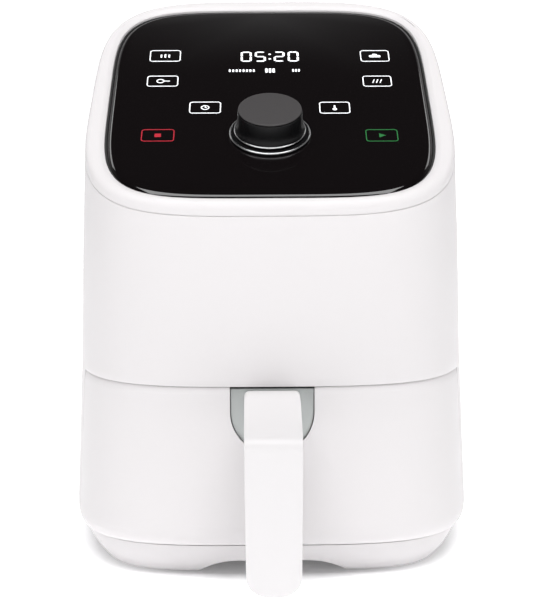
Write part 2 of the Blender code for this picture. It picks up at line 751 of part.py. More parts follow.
def make_glass_gasket(panel):
    """Black frame with an L section that the glass sits in."""
    outer = -GAP
    inner = -GAP - GASKET_WIDTH
    low = -LEDGE_DEPTH + GAP
    seat = -GLASS_THICKNESS - GAP
    rings = [panel_ring(outer, low), panel_ring(outer, -0.0010), panel_ring(inner, -0.0010),
             panel_ring(inner, seat), panel_ring(0.0005 - LEDGE_WIDTH, seat),
             panel_ring(0.0005 - LEDGE_WIDTH, low)]
    mesh = loft_mesh("glass_gasket", rings, ring_shaped=True)
    return add_part("glass_gasket", mesh, black_plastic(), panel)


def make_glass_panel(panel):
    """Touch glass with a bevelled edge and a hole for the dial's bushing."""
    edge = -GASKET_WIDTH - 2.0 * GAP
    rings = [panel_ring(edge, -GLASS_THICKNESS), panel_ring(edge, -GLASS_BEVEL),
             panel_ring(edge - GLASS_BEVEL, 0.0)]
    mesh = loft_mesh("glass_panel", rings)
    glass = add_part("glass_panel", mesh, black_glass(), panel)
    hole = [((0.0, KNOB_S, -0.01), (0.0, KNOB_S, 0.01), BUSHING_RADIUS + GAP)]
    return combine(glass, add_cutter("bushing_hole", rods_mesh("bushing_hole", hole, 24), panel))


def make_control_board(panel):
    """Circuit board under the glass, carrying the display, touch springs and encoder."""
    top = -BOARD_DEPTH + BOARD_THICKNESS
    rings = [panel_ring(-BOARD_MARGIN, -BOARD_DEPTH), panel_ring(-BOARD_MARGIN, top)]
    return add_part("control_board", loft_mesh("control_board", rings), circuit_board(), panel)


def key_places():
    """Middles of the eight touch keys, four each side."""
    outer = PANEL_HALF_WIDTH - 0.0277
    inner = PANEL_HALF_WIDTH - 0.0519
    column = [(outer, 0.0446), (outer, 0.0163), (inner, -0.0120), (outer, -0.0402)]
    return [(side * x, s) for side in (-1, 1) for x, s in column]


def make_light_guide(panel):
    """Clear frame on the board with a pad under every touch key and a window for the display."""
    low = -BOARD_DEPTH + BOARD_THICKNESS + GAP
    high = -GLASS_THICKNESS - GAP
    inset = BOARD_MARGIN + 0.0020
    rings = [panel_ring(-inset, low), panel_ring(-inset, low + 0.0015)]
    guide = add_part("light_guide", loft_mesh("light_guide", rings), grey_plastic(), panel)
    for i, (x, s) in enumerate(key_places()):
        name = "light_guide_pad_%d" % (i + 1)
        pad = rods_mesh(name, [((x, s, low + 0.0005), (x, s, high), 0.0050)], 12)
        combine(guide, add_cutter(name, pad, panel), "UNION")
    window = box_mesh("display_window", (-0.0205, 0.0235, -0.03), (0.0205, 0.0535, 0.01))
    combine(guide, add_cutter("display_window", window, panel))
    hole = [((0.0, KNOB_S, -0.03), (0.0, KNOB_S, 0.01), 0.0082)]
    return combine(guide, add_cutter("encoder_window", rods_mesh("encoder_window", hole, 24), panel))


def make_display_module(panel):
    low = -BOARD_DEPTH + BOARD_THICKNESS + GAP
    high = -GLASS_THICKNESS - GAP
    mesh = box_mesh("display_module", (-0.0200, 0.0240, low), (0.0200, 0.0530, high))
    return add_part("display_module", mesh, black_plastic(), panel)


def make_encoder(panel):
    """Rotary encoder: body on the board, with a bushing that comes up through the glass."""
    low = -BOARD_DEPTH + BOARD_THICKNESS + GAP
    shoulder = -GLASS_THICKNESS - GAP
    bushing_top = 0.0038
    bore = SHAFT_RADIUS + GAP
    profile = [(BUSHING_RADIUS, bushing_top), (BUSHING_RADIUS, shoulder), (0.0075, shoulder),
               (0.0075, low), (bore, low), (bore, bushing_top)]
    turned_part("encoder_body", profile, bare_steel(), panel, (0.0, KNOB_S, 0.0), steps=24)


def make_knob_ring(panel):
    """Fixed glossy ring on the glass that the dial turns in."""
    inner = KNOB_RADIUS - 0.0040
    edge = 0.0006
    profile = [(KNOB_RING_RADIUS - edge, KNOB_RING_HEIGHT), (KNOB_RING_RADIUS, KNOB_RING_HEIGHT - edge),
               (KNOB_RING_RADIUS, GAP), (inner, GAP), (inner, KNOB_RING_HEIGHT)]
    return turned_part("knob_ring", profile, black_plastic(), panel, (0.0, KNOB_S, 0.0), steps=32)


def make_dial(knob_axis):
    """Dial, its top cap and the encoder shaft, which turn together."""
    foot = KNOB_RING_HEIGHT + 0.0008
    flare = KNOB_RADIUS + KNOB_FLARE
    shelf = KNOB_TOP - 0.0010
    bore = SHAFT_RADIUS + GAP
    profile = [(0.0, shelf), (KNOB_RADIUS, shelf), (KNOB_RADIUS + 0.0002, 0.6 * shelf),
               (flare - 0.0006, foot + 0.0022), (flare, foot + 0.0008), (flare, foot),
               (0.0090, foot), (0.0090, 0.0052), (bore, 0.0052), (bore, 0.0125), (0.0, 0.0125)]
    turned_part("knob", profile, black_plastic(), knob_axis, steps=32, closed=False)
    rim = KNOB_RADIUS - 0.0003
    cap = [(0.0, KNOB_TOP), (rim - 0.0004, KNOB_TOP), (rim, KNOB_TOP - 0.0003),
           (rim, shelf + GAP), (0.0, shelf + GAP)]
    turned_part("knob_cap", cap, dial_grey(), knob_axis, steps=32, closed=False)
    start = -BOARD_DEPTH + BOARD_THICKNESS + 0.0015
    rod = rods_mesh("encoder_shaft", [((0.0, 0.0, start), (0.0, 0.0, 0.0122), SHAFT_RADIUS)], 20)
    add_part("encoder_shaft", rod, bare_steel(), knob_axis)


# ---------------------------------------------------------------- drawer
def make_drawer_front(body):
    """White drawer front that wraps round both front corners."""
    rings = shell_rings(BODY_BOTTOM, DRAWER_TOP, 0.0, WALL, (LOWER_EDGE_RISE, LOWER_EDGE_INSET),
                        (0.0040, 0.0010))
    mesh = loft_mesh("drawer_front", rings, ring_shaped=True)
    front = smooth(add_part("drawer_front", mesh, white_plastic(), body))
    behind = box_mesh("drawer_back_cut", (-HUGE, WRAP_Y - GAP, -HUGE), (HUGE, HUGE, HUGE))
    combine(front, add_cutter("drawer_back_cut", behind, body))
    window = prism_mesh("plate_window", plate_outline(GAP, 0.004), 0.5 * HALF_DEPTH, FRONT_VIEW,
                        (0.0, -HALF_DEPTH, 0.0))
    return combine(front, add_cutter("plate_window", window, body))


def make_drawer_panel(body):
    """Inner panel that closes the drawer front behind and carries the pan."""
    low = PAN_BOTTOM + 0.0010
    high = PAN_TOP
    near, far = INNER_PANEL_INSET, INNER_PANEL_INSET + INNER_PANEL_THICKNESS
    rings = [wall_ring(low, near), wall_ring(high, near), wall_ring(high, far), wall_ring(low, far)]
    mesh = loft_mesh("drawer_inner_panel", rings, ring_shaped=True)
    panel = add_part("drawer_inner_panel", mesh, black_plastic(), body)
    behind = box_mesh("inner_panel_cut", (-HUGE, WRAP_Y - 0.0020, -HUGE), (HUGE, HUGE, HUGE))
    combine(panel, add_cutter("inner_panel_cut", behind, body))
    return combine(panel, add_cutter("pan_screw_holes", rods_mesh("pan_screw_holes", pan_screw_rods(
        GAP, 0.02), 12), body))


def plate_outline(grow, top_grow=0.0):
    """The recess plate seen from the front: straight sides, then curves that meet below."""
    half = PLATE_HALF_WIDTH + grow
    top = DRAWER_TOP - 0.0008 + top_grow
    shoulder = DRAWER_TOP - PLATE_STRAIGHT
    drop = 1.18 * PLATE_HALF_WIDTH + grow
    low = [(half * math.cos(math.radians(a)), shoulder - drop * math.sin(math.radians(a)))
           for a in range(0, 181, 15)]
    return [(half, top)] + low + [(-half, top)]


def make_handle_plate(body):
    """Grey plate let into the drawer front behind the handle."""
    middle = PLATE_FACE_Y + 0.5 * PLATE_THICKNESS
    mesh = prism_mesh("handle_plate", plate_outline(0.0), 0.5 * PLATE_THICKNESS, FRONT_VIEW,
                      (0.0, middle, 0.0))
    plate = add_part("handle_plate", mesh, grey_plastic(), body)
    return combine(plate, add_cutter("plate_screw_holes", rods_mesh("plate_screw_holes", handle_screw_rods(
        GAP, 0.01), 12), body))


def handle_screw_rods(grow, extra=0.0):
    """Two screws from behind into the handle's shell."""
    start = bracket_back_y() + extra
    end = HANDLE_ROOT_Y - HANDLE_SCREW_BITE - grow
    z = HANDLE_TOP_Z - 0.5 * HANDLE_SHELL
    return [((x, start, z), (x, end, z), HANDLE_SCREW_RADIUS + grow) for x in (-0.0070, 0.0070)]


def bracket_back_y():
    return PLATE_FACE_Y + PLATE_THICKNESS + GAP + HANDLE_BRACKET_THICKNESS


def make_handle_bracket(body):
    """Steel backing plate behind the recess plate that the handle screws pull against."""
    low = HANDLE_TOP_Z - HANDLE_NECK - 0.0040
    half = PLATE_HALF_WIDTH - 0.0040
    front = PLATE_FACE_Y + PLATE_THICKNESS + GAP
    mesh = box_mesh("handle_bracket", (-half, front, low), (half, bracket_back_y(), HANDLE_TOP_Z))
    bracket = add_part("handle_bracket", mesh, bare_steel(), body)
    holes = rods_mesh("bracket_holes", handle_screw_rods(GAP, 0.01), 12)
    return combine(bracket, add_cutter("bracket_holes", holes, body))


def make_handle_screws(body):
    head = SCREW_HEAD_HEIGHT
    for i, ((x, y, z), (_, end, _), radius) in enumerate(handle_screw_rods(0.0)):
        screw_part("handle_screw_%d" % (i + 1), 0.0032, head, radius, y + GAP + head - end, body,
                   (x, y + GAP + head, z), (math.radians(90.0), 0.0, 0.0))


def handle_path(depth_top, depth_front, radius):
    """Side view of one face of the handle, from its root to its tip, at given depths inside it."""
    slope = math.tan(HANDLE_TOP_SLOPE)
    drop = depth_top / math.cos(HANDLE_TOP_SLOPE)
    front = HANDLE_FRONT_Y + depth_front
    root = (HANDLE_ROOT_Y, HANDLE_TOP_Z - drop)
    corner_z = HANDLE_TOP_Z - drop - slope * (HANDLE_ROOT_Y - front)
    reach = radius * math.tan(math.radians(45.0) - 0.5 * HANDLE_TOP_SLOPE)
    center = (front + radius, corner_z - reach)
    top_angle = 90.0 + math.degrees(HANDLE_TOP_SLOPE)
    return [root] + arc(center, radius, top_angle, 180.0, 5) + [(front, HANDLE_BOTTOM_Z)]


def handle_shape(name, body, near_top, near_front, near_radius, far_top, far_front, far_radius):
    """One half of the handle: an L seen from the side, narrowing to a round end from the front."""
    near = handle_path(near_top, near_front, near_radius)
    far = handle_path(far_top, far_front, far_radius)
    outline = near + list(reversed(far))
    mesh = prism_mesh(name, outline, 2.0 * HANDLE_ROOT_HALF_WIDTH, SIDE_VIEW)
    part = smooth(add_part(name, mesh, white_plastic(), body), 40.0)
    face = prism_mesh(name + "_face", handle_face(), HUGE, FRONT_VIEW)
    combine(part, add_cutter(name + "_face", face, body), "INTERSECT")
    return part


def handle_face():
    """The handle seen from the front: rounded upper corners, slight taper, round lower end."""
    top = HANDLE_TOP_Z + 0.0001
    root, tip = HANDLE_ROOT_HALF_WIDTH, HANDLE_TIP_HALF_WIDTH
    corner = 0.0028
    upper = arc((root - corner, top - corner), corner, 90.0, 0.0, 3)
    end_rise = 1.18 * tip
    lower = [(tip * math.cos(math.radians(a)),
              HANDLE_BOTTOM_Z + end_rise - end_rise * math.sin(math.radians(a))) for a in range(0, 91, 10)]
    right = upper + lower
    return right + [(-x, z) for x, z in reversed(right[:-1])]


def make_handle(body):
    """The handle's outer shell and the cover that closes it behind, split along its side."""
    holes = rods_mesh("handle_screw_holes", handle_screw_rods(GAP, 0.0), 12)
    cutter = add_cutter("handle_screw_holes", holes, body)
    shell = handle_shape("handle_shell", body, 0.0, 0.0, HANDLE_CORNER,
                         HANDLE_SHELL, 0.5 * HANDLE_GRIP, 0.5 * HANDLE_CORNER)
    combine(shell, cutter)
    back = handle_shape("handle_back", body, HANDLE_SHELL + GAP, 0.5 * HANDLE_GRIP + GAP,
                        0.5 * HANDLE_CORNER - GAP, HANDLE_NECK, HANDLE_GRIP, 0.0020)
    combine(back, cutter)


def make_pan(body):
    """Deep non-stick pan with a flange."""
    flange_low = PAN_TOP - PAN_FLANGE_THICKNESS
    floor = PAN_BOTTOM + PAN_WALL
    outside = [pan_ring(PAN_BOTTOM, -0.0060), pan_ring(PAN_BOTTOM + 0.0020, -0.0018),
               pan_ring(PAN_BOTTOM + 0.0060), pan_ring(flange_low), pan_ring(flange_low, PAN_FLANGE),
               pan_ring(PAN_TOP, PAN_FLANGE)]
    inside = [pan_ring(PAN_TOP, -PAN_WALL), pan_ring(floor + 0.0055, -PAN_WALL),
              pan_ring(floor + 0.0018, -PAN_WALL - 0.0018), pan_ring(floor, -PAN_WALL - 0.0055)]
    mesh = loft_mesh("pan", outside + inside)
    pan = smooth(add_part("pan", mesh, nonstick(), body))
    holes = rods_mesh("pan_wall_holes", pan_screw_rods(GAP, 0.02), 12)
    return combine(pan, add_cutter("pan_wall_holes", holes, body))


def pan_screw_rods(grow, extra=0.0):
    z = PAN_TOP - 0.0150
    start = PAN_FRONT - 0.0078 - extra
    end = PAN_FRONT + 0.0048 + extra
    return [((x, start, z), (x, end, z), 0.0018 + grow) for x in (-0.0320, 0.0320)]


def make_pan_screws(body):
    """Screws through the pan's front wall into the inner panel, heads inside the pan."""
    for i, ((x, start, z), (_, end, _), radius) in enumerate(pan_screw_rods(0.0)):
        screw_part("pan_screw_%d" % (i + 1), 0.0030, 0.0014, radius, end - start, body, (x, end, z),
                   (math.radians(90.0), 0.0, 0.0))


def tray_place(z):
    """Half width, front and back of the tray at height z, inside the pan with a gap."""
    share = (PAN_TOP - z) / (PAN_TOP - PAN_BOTTOM)
    inset = PAN_WALL + TRAY_GAP + PAN_DRAFT * share
    return PAN_HALF_WIDTH - inset, PAN_HALF_DEPTH - inset


def make_crisper_tray(tray):
    """Perforated tray with an upturned rim, which lifts out of the pan."""
    low = PAN_BOTTOM + PAN_WALL + TRAY_LIFT
    top = low + TRAY_THICKNESS
    half_x, half_y = tray_place(low)

    def ring(z, inset):
        points = rounded_ring(half_x - inset, -half_y + inset, half_y - inset, PAN_SQUARENESS, 40)
        return [(x, y, z) for x, y in points]

    rings = [ring(low, 0.0016), ring(low + 0.0014, 0.0), ring(top + TRAY_RIM, 0.0),
             ring(top + TRAY_RIM, TRAY_THICKNESS), ring(top, TRAY_THICKNESS + 0.0006)]
    plate = smooth(add_part("crisper_tray", loft_mesh("crisper_tray", rings), nonstick(), tray))
    span = 0.5 * (TRAY_HOLE_ROWS - 1)
    holes = []
    for row in range(TRAY_HOLE_ROWS):
        for column in range(TRAY_HOLE_ROWS):
            x, y = (row - span) * TRAY_HOLE_PITCH, (column - span) * TRAY_HOLE_PITCH
            if max(abs(x), abs(y)) < min(half_x, half_y) - 2.0 * TRAY_HOLE_RADIUS:
                holes.append(((x, y, low - 0.01), (x, y, top + 0.01), TRAY_HOLE_RADIUS))
    return combine(plate, add_cutter("tray_holes", rods_mesh("tray_holes", holes, 8), tray))


def make_tray_bumpers(tray):
    """Four silicone feet under the tray, which keep it off the pan's floor."""
    floor = PAN_BOTTOM + PAN_WALL + GAP
    low = PAN_BOTTOM + PAN_WALL + TRAY_LIFT - GAP
    half_x, half_y = tray_place(low)
    foot = rods_mesh("tray_bumper", [((0.0, 0.0, floor), (0.0, 0.0, low), 0.0055, 0.0065)], 12)
    number = 0
    for side in (-1, 1):
        for end in (-1, 1):
            number += 1
            add_part("tray_bumper_%d" % number, foot, rubber(), tray,
                     (side * (half_x - 0.0230), end * (half_y - 0.0230), 0.0))


# ---------------------------------------------------------------- cooking chamber
def make_liner(body):
    """Sheet-metal cooking chamber, open above and, at the drawer's height, in front."""
    floor = BODY_BOTTOM + LINER_FLOOR_GAP
    rings = [liner_ring(floor), liner_ring(LINER_TOP), liner_ring(LINER_TOP, -LINER_WALL),
             liner_ring(floor + LINER_WALL, -LINER_WALL)]
    liner = smooth(add_part("chamber_liner", loft_mesh("chamber_liner", rings), sheet_metal(), body))
    front = PAN_Y - LINER_HALF_DEPTH + LINER_FRONT_TRIM
    mouth = box_mesh("liner_mouth", (-HUGE, -HUGE, floor + LINER_WALL + GAP), (HUGE, front, DRAWER_TOP))
    combine(liner, add_cutter("liner_mouth", mouth, body))
    half = DUCT_HALF_WIDTH - DUCT_WALL
    port = box_mesh("liner_port", (-half, 0.0, DRAWER_TOP + DUCT_LOW + DUCT_WALL),
                    (half, HUGE, DRAWER_TOP + DUCT_HIGH - DUCT_WALL))
    combine(liner, add_cutter("liner_port", port, body))
    hole = rods_mesh("plunger_hole", [((SWITCH_X, 0.0, switch_z()), (SWITCH_X, HUGE, switch_z()), 0.0024)], 12)
    return combine(liner, add_cutter("plunger_hole", hole, body))


def make_guides(body):
    """Rails on the chamber's sides that the pan's flange slides along."""
    z = PAN_TOP - PAN_FLANGE_THICKNESS - 0.0005
    outer = LINER_HALF_WIDTH - LINER_WALL - 0.0010
    inner = PAN_HALF_WIDTH + 0.0006
    for name, side in (("left_guide", -1), ("right_guide", 1)):
        xs = sorted((side * inner, side * outer))
        low = (xs[0], PAN_Y - 0.40 * PAN_HALF_DEPTH, z - 0.0012)
        high = (xs[1], PAN_Y + 0.40 * PAN_HALF_DEPTH, z)
        add_part(name, box_mesh(name, low, high), bare_steel(), body)


def make_heater_guard(chamber):
    """Wire guard under the heater: rings held by a cross."""
    z = DRAWER_TOP + GUARD_Z
    thickness = 0.0012
    outer = CHAMBER_RADIUS - 0.0020
    profile = [(outer, z + thickness), (outer, z), (outer - 0.0030, z), (outer - 0.0030, z + thickness)]
    guard = turned_part("heater_guard", profile, bare_steel(), chamber, steps=32)
    middle = 0.5 * outer
    ring = [(middle + 0.0012, z + thickness), (middle + 0.0012, z), (middle - 0.0012, z),
            (middle - 0.0012, z + thickness)]
    inner = turned_part("guard_ring", ring, bare_steel(), chamber, steps=24)
    bpy.data.collections[PARTS].objects.unlink(inner)
    bpy.data.collections[CUTTERS].objects.link(inner)
    inner.hide_render = True
    inner.display_type = "WIRE"
    combine(guard, inner, "UNION")
    reach = outer - 0.0015
    for i, (half_x, half_y) in enumerate(((reach, 0.0012), (0.0012, reach))):
        name = "guard_bar_%d" % (i + 1)
        bar = box_mesh(name, (-half_x, -half_y, z + 0.0001), (half_x, half_y, z + thickness - 0.0001))
        combine(guard, add_cutter(name, bar, chamber), "UNION")
    return guard


def heater_ends():
    """Where the element's two ends pass through the reflector, in the chamber's frame."""
    angle = math.radians(HEATER_END_ANGLE)
    return [(radius * math.cos(angle), radius * math.sin(angle))
            for radius in (HEATER_INNER_RADIUS, HEATER_RADIUS)]


def make_heater(chamber):
    """Tubular element: round and back in two rings with a hairpin bend, ends up through the reflector."""
    z = DRAWER_TOP + HEATER_Z
    top = DRAWER_TOP + REFLECTOR_Z + 0.0050
    turn_angle = 360.0 - 1.6 * HEATER_END_ANGLE
    bend = 0.5 * HEATER_SPACING
    middle = 0.5 * (HEATER_INNER_RADIUS + HEATER_RADIUS)
    inner = arc((0.0, 0.0), HEATER_INNER_RADIUS, HEATER_END_ANGLE, turn_angle, 28)
    outer = arc((0.0, 0.0), HEATER_RADIUS, turn_angle, HEATER_END_ANGLE, 28)
    turn = math.radians(turn_angle)
    center = (middle * math.cos(turn), middle * math.sin(turn))
    hairpin = arc(center, bend, turn_angle + 180.0, turn_angle, 5)[1:-1]
    level = [(x, y, z) for x, y in inner + hairpin + outer]
    (x1, y1), (x2, y2) = heater_ends()
    rise = z + 1.3 * HEATER_TUBE_RADIUS
    points = [(x1, y1, top), (x1, y1, rise)] + level + [(x2, y2, rise), (x2, y2, top)]
    return smooth(add_part("heater", tube_mesh("heater", points, HEATER_TUBE_RADIUS), bare_steel(), chamber))


def probe_place():
    radius = CHAMBER_RADIUS - 0.0085
    angle = math.radians(215.0)
    return radius * math.cos(angle), radius * math.sin(angle)


def make_reflector(chamber):
    """Dished plate above the fan that throws the heat down."""
    top = DRAWER_TOP + REFLECTOR_Z
    low = top - REFLECTOR_SKIRT
    sheet = 0.0008
    flat = CHAMBER_RADIUS - 0.0120
    hole = MOTOR_SHAFT_RADIUS + RUNNING_GAP
    profile = [(hole, top), (flat, top), (CHAMBER_RADIUS - 0.0040, top - 0.0060), (CHAMBER_RADIUS, low),
               (CHAMBER_RADIUS - sheet, low), (CHAMBER_RADIUS - 0.0040 - sheet, top - 0.0060 - 0.4 * sheet),
               (flat - 0.3 * sheet, top - sheet), (hole, top - sheet)]
    reflector = turned_part("reflector", profile, sheet_metal(), chamber, steps=32)
    rods = [((x, y, low), (x, y, top + 0.01), HEATER_TUBE_RADIUS + 0.0008) for x, y in heater_ends()]
    x, y = probe_place()
    rods.append(((x, y, low), (x, y, top + 0.01), 0.0028))
    return combine(reflector, add_cutter("reflector_holes", rods_mesh("reflector_holes", rods, 12), chamber))


def make_insulation(chamber):
    """Mineral-wool disc between the reflector and the deck, inside the ring of heater ends."""
    low = DRAWER_TOP + REFLECTOR_Z + GAP
    inner = MOTOR_SHAFT_RADIUS + 0.0060
    outer = heater_ends()[0][0] - HEATER_TUBE_RADIUS - 0.0015
    high = low + INSULATION_THICKNESS
    profile = [(outer, high), (outer, low), (inner, low), (inner, high)]
    return turned_part("insulation_pad", profile, mineral_wool(), chamber, steps=28)


def bladed_wheel(name, axis, low, radius, blades, height, disc, hub_radius, surface):
    """A fan: a disc with flat blades standing under it, made one body round the shaft's bore."""
    bore = MOTOR_SHAFT_RADIUS + GAP
    top = low + height + disc
    profile = [(radius, top), (radius, top - disc), (hub_radius, top - disc), (hub_radius, low),
               (bore, low), (bore, top)]
    wheel = turned_part(name, profile, surface, axis, steps=32)

    def build(made):
        for i in range(blades):
            angle = 2.0 * math.pi * i / blades
            inner, outer = 0.45 * radius, radius - 0.0010
            middle = Vector((0.5 * (inner + outer), 0.0, low + 0.5 * height + 0.0001))
            place = (Matrix.Rotation(angle, 4, "Z") @ Matrix.Translation(middle)
                     @ Matrix.Rotation(math.radians(24.0), 4, "Z")
                     @ Matrix.Diagonal((outer - inner, 0.0012, height + 0.0002, 1.0)))
            bmesh.ops.create_cube(made, size=1.0, matrix=place)

    blade_mesh = mesh_from(name + "_blades", build)
    return combine(wheel, add_cutter(name + "_blades", blade_mesh, axis), "UNION")


def make_rotor(rotor_axis):
    """Motor shaft with the convection fan below, its nut, and the cooling fan above the deck."""
    low = DRAWER_TOP + FAN_Z - 0.0040
    high = MOTOR_Z + MOTOR_HEIGHT + 0.0030
    rod = rods_mesh("motor_shaft", [((0.0, 0.0, low), (0.0, 0.0, high), MOTOR_SHAFT_RADIUS)], 20)
    add_part("motor_shaft", rod, bare_steel(), rotor_axis)
    bladed_wheel("convection_fan", rotor_axis, DRAWER_TOP + FAN_Z, FAN_RADIUS, FAN_BLADES,
                 FAN_BLADE_HEIGHT, 0.0012, 0.0090, sheet_metal())
    bore = MOTOR_SHAFT_RADIUS + GAP
    nut_top = DRAWER_TOP + FAN_Z - GAP
    inside = bore / math.cos(math.radians(30.0))
    nut = [(0.0050, nut_top), (0.0050, nut_top - 0.0030), (inside, nut_top - 0.0030), (inside, nut_top)]
    turned_part("fan_nut", nut, bare_steel(), rotor_axis, steps=6)
    bladed_wheel("cooling_fan", rotor_axis, DECK_TOP + 0.0025, COOLING_FAN_RADIUS, COOLING_FAN_BLADES,
                 COOLING_FAN_HEIGHT - 0.0010, 0.0010, 0.0060, black_plastic())


def make_motor(chamber):
    """Motor can with its rear bearing boss."""
    top = MOTOR_Z + MOTOR_HEIGHT
    bore = MOTOR_SHAFT_RADIUS + GAP
    profile = [(0.0080, top), (0.0080, top - 0.0025), (MOTOR_RADIUS - 0.0020, top - 0.0025),
               (MOTOR_RADIUS, top - 0.0045), (MOTOR_RADIUS, MOTOR_Z), (bore, MOTOR_Z), (bore, top)]
    return turned_part("motor", profile, bare_steel(), chamber, steps=32)


def standoff_places():
    place = BRACKET_HALF - 0.0050
    return [(sx * place, sy * place) for sx in (-1, 1) for sy in (-1, 1)]


def make_motor_mount(chamber):
    """Bracket on four legs that holds the motor over the cooling fan."""
    half = BRACKET_HALF
    top = BRACKET_Z + BRACKET_THICKNESS
    plate = box_mesh("motor_bracket", (-half, -half, BRACKET_Z), (half, half, top))
    bracket = add_part("motor_bracket", plate, sheet_metal(), chamber)
    hole = [((0.0, 0.0, BRACKET_Z - 0.01), (0.0, 0.0, top + 0.01), MOTOR_SHAFT_RADIUS + RUNNING_GAP)]
    combine(bracket, add_cutter("bracket_bore", rods_mesh("bracket_bore", hole), chamber))
    posts = [((x, y, DECK_TOP + GAP), (x, y, BRACKET_Z + 0.0005), 0.0030) for x, y in standoff_places()]
    for i, post in enumerate(posts):
        name = "bracket_leg_%d" % (i + 1)
        combine(bracket, add_cutter(name, rods_mesh(name, [post], 12), chamber), "UNION")
    return bracket


def make_deck(body, chamber):
    """Moulded deck that closes the chamber off from the motor and the boards."""
    inset = WALL + RUNNING_GAP
    rings = [wall_ring(DECK_Z, inset), wall_ring(DECK_TOP, inset)]
    deck = add_part("mounting_deck", loft_mesh("mounting_deck", rings), black_plastic(), body)
    hole = [((0.0, 0.0, DECK_Z - 0.01), (0.0, 0.0, DECK_TOP + 0.002), MOTOR_SHAFT_RADIUS + 0.0040)]
    combine(deck, add_cutter("deck_bore", rods_mesh("deck_bore", hole), chamber))
    lead = [((GLAND_X, lead_y(), DECK_Z - 0.01), (GLAND_X, lead_y(), DECK_TOP + 0.01), 0.0042)]
    return combine(deck, add_cutter("lead_hole", rods_mesh("lead_hole", lead, 12), body))


def make_exhaust_duct(body):
    """Short rectangular duct from the chamber's back to the rear grille."""
    liner_back = PAN_Y + LINER_HALF_DEPTH + GAP
    wall_in = back_depth_at(DRAWER_TOP + DUCT_HIGH) - WALL
    share = (DUCT_HALF_WIDTH / half_width_at(DRAWER_TOP)) ** SEAM_SQUARENESS
    end = wall_in * (1.0 - share / SEAM_SQUARENESS) - 2.0 * GAP - 0.0006
    low, high = DRAWER_TOP + DUCT_LOW, DRAWER_TOP + DUCT_HIGH
    outer = box_mesh("exhaust_duct", (-DUCT_HALF_WIDTH, liner_back, low), (DUCT_HALF_WIDTH, end, high))
    duct = add_part("exhaust_duct", outer, sheet_metal(), body)
    half = DUCT_HALF_WIDTH - DUCT_WALL
    inner = box_mesh("duct_bore", (-half, 0.0, low + DUCT_WALL), (half, HUGE, high - DUCT_WALL))
    return combine(duct, add_cutter("duct_bore", inner, body))


def make_sensors(chamber):
    """Thermal cut-out beside the insulation, and the probe that reads the air."""
    seat = DRAWER_TOP + REFLECTOR_Z + GAP
    x, y = 0.0, CHAMBER_RADIUS - 0.0210
    cutout = [((x, y, seat), (x, y, seat + 0.0050), 0.0060)]
    add_part("thermal_cutout", rods_mesh("thermal_cutout", cutout), bare_steel(), chamber)
    x, y = probe_place()
    rod = [((x, y, DRAWER_TOP + HEATER_Z - 0.0050), (x, y, LINER_TOP - 0.0010), 0.0020)]
    add_part("temperature_probe", rods_mesh("temperature_probe", rod, 12), bare_steel(), chamber)


# ---------------------------------------------------------------- electrics
def switch_z():
    return PAN_TOP - 0.0090


def switch_body_y():
    return PAN_Y + LINER_HALF_DEPTH + GAP


def make_drawer_switch(body, plunger_axis):
    """Safety switch behind the chamber, with the sprung plunger that the closed pan presses."""
    x, z = SWITCH_X, switch_z()
    front = switch_body_y()
    mesh = box_mesh("drawer_switch", (x - 0.0100, front, z - 0.0040), (x + 0.0100, front + 0.0080, z + 0.0040))
    switch = add_part("drawer_switch", mesh, black_plastic(), body)
    hole = [((x, front - 0.01, z), (x, front + 0.0062, z), 0.0018 + GAP)]
    combine(switch, add_cutter("switch_bore", rods_mesh("switch_bore", hole, 12), body))
    share = (SWITCH_X / PAN_HALF_WIDTH) ** PAN_SQUARENESS
    pan_back = PAN_Y + PAN_HALF_DEPTH * (1.0 - share / PAN_SQUARENESS)
    tip = pan_back - PAN_DRAFT * (PAN_TOP - z) / (PAN_TOP - PAN_BOTTOM) + GAP
    origin = plunger_axis.location.y
    rod = [((0.0, tip - origin, 0.0), (0.0, front + 0.0058 - origin, 0.0), 0.0018)]
    add_part("switch_plunger", rods_mesh("switch_plunger", rod, 12), grey_plastic(), plunger_axis)


def lead_y():
    return back_depth_at(DECK_Z) - WALL - 0.0070


def board_y():
    return back_depth_at(DECK_Z) - WALL - 0.0180


def make_power_board(body):
    """Upright power board on the deck, filled with its relay, capacitor and terminal block."""
    low = DECK_TOP + GAP
    high = DECK_TOP + 0.45 * HEADROOM
    y = board_y()
    mesh = box_mesh("power_board", (-0.0500, y, low), (0.0500, y + BOARD_THICKNESS, high))
    board = add_part("power_board", mesh, circuit_board(), body)
    face = y + 0.0005
    relay = box_mesh("relay", (-0.0420, face - 0.0140, low + 0.018), (-0.0240, face, low + 0.036))
    combine(board, add_cutter("relay", relay, body), "UNION")
    block = box_mesh("terminals", (-0.0200, face - 0.0090, high - 0.0140), (0.0080, face, high - 0.0040))
    combine(board, add_cutter("terminals", block, body), "UNION")
    rod = rods_mesh("capacitor", [((0.0380, face - 0.0120, low + 0.022), (0.0380, face, low + 0.022),
                                   0.0080)])
    return combine(board, add_cutter("capacitor", rod, body), "UNION")


def gland_end_y():
    return HALF_DEPTH - WALL - 0.0020


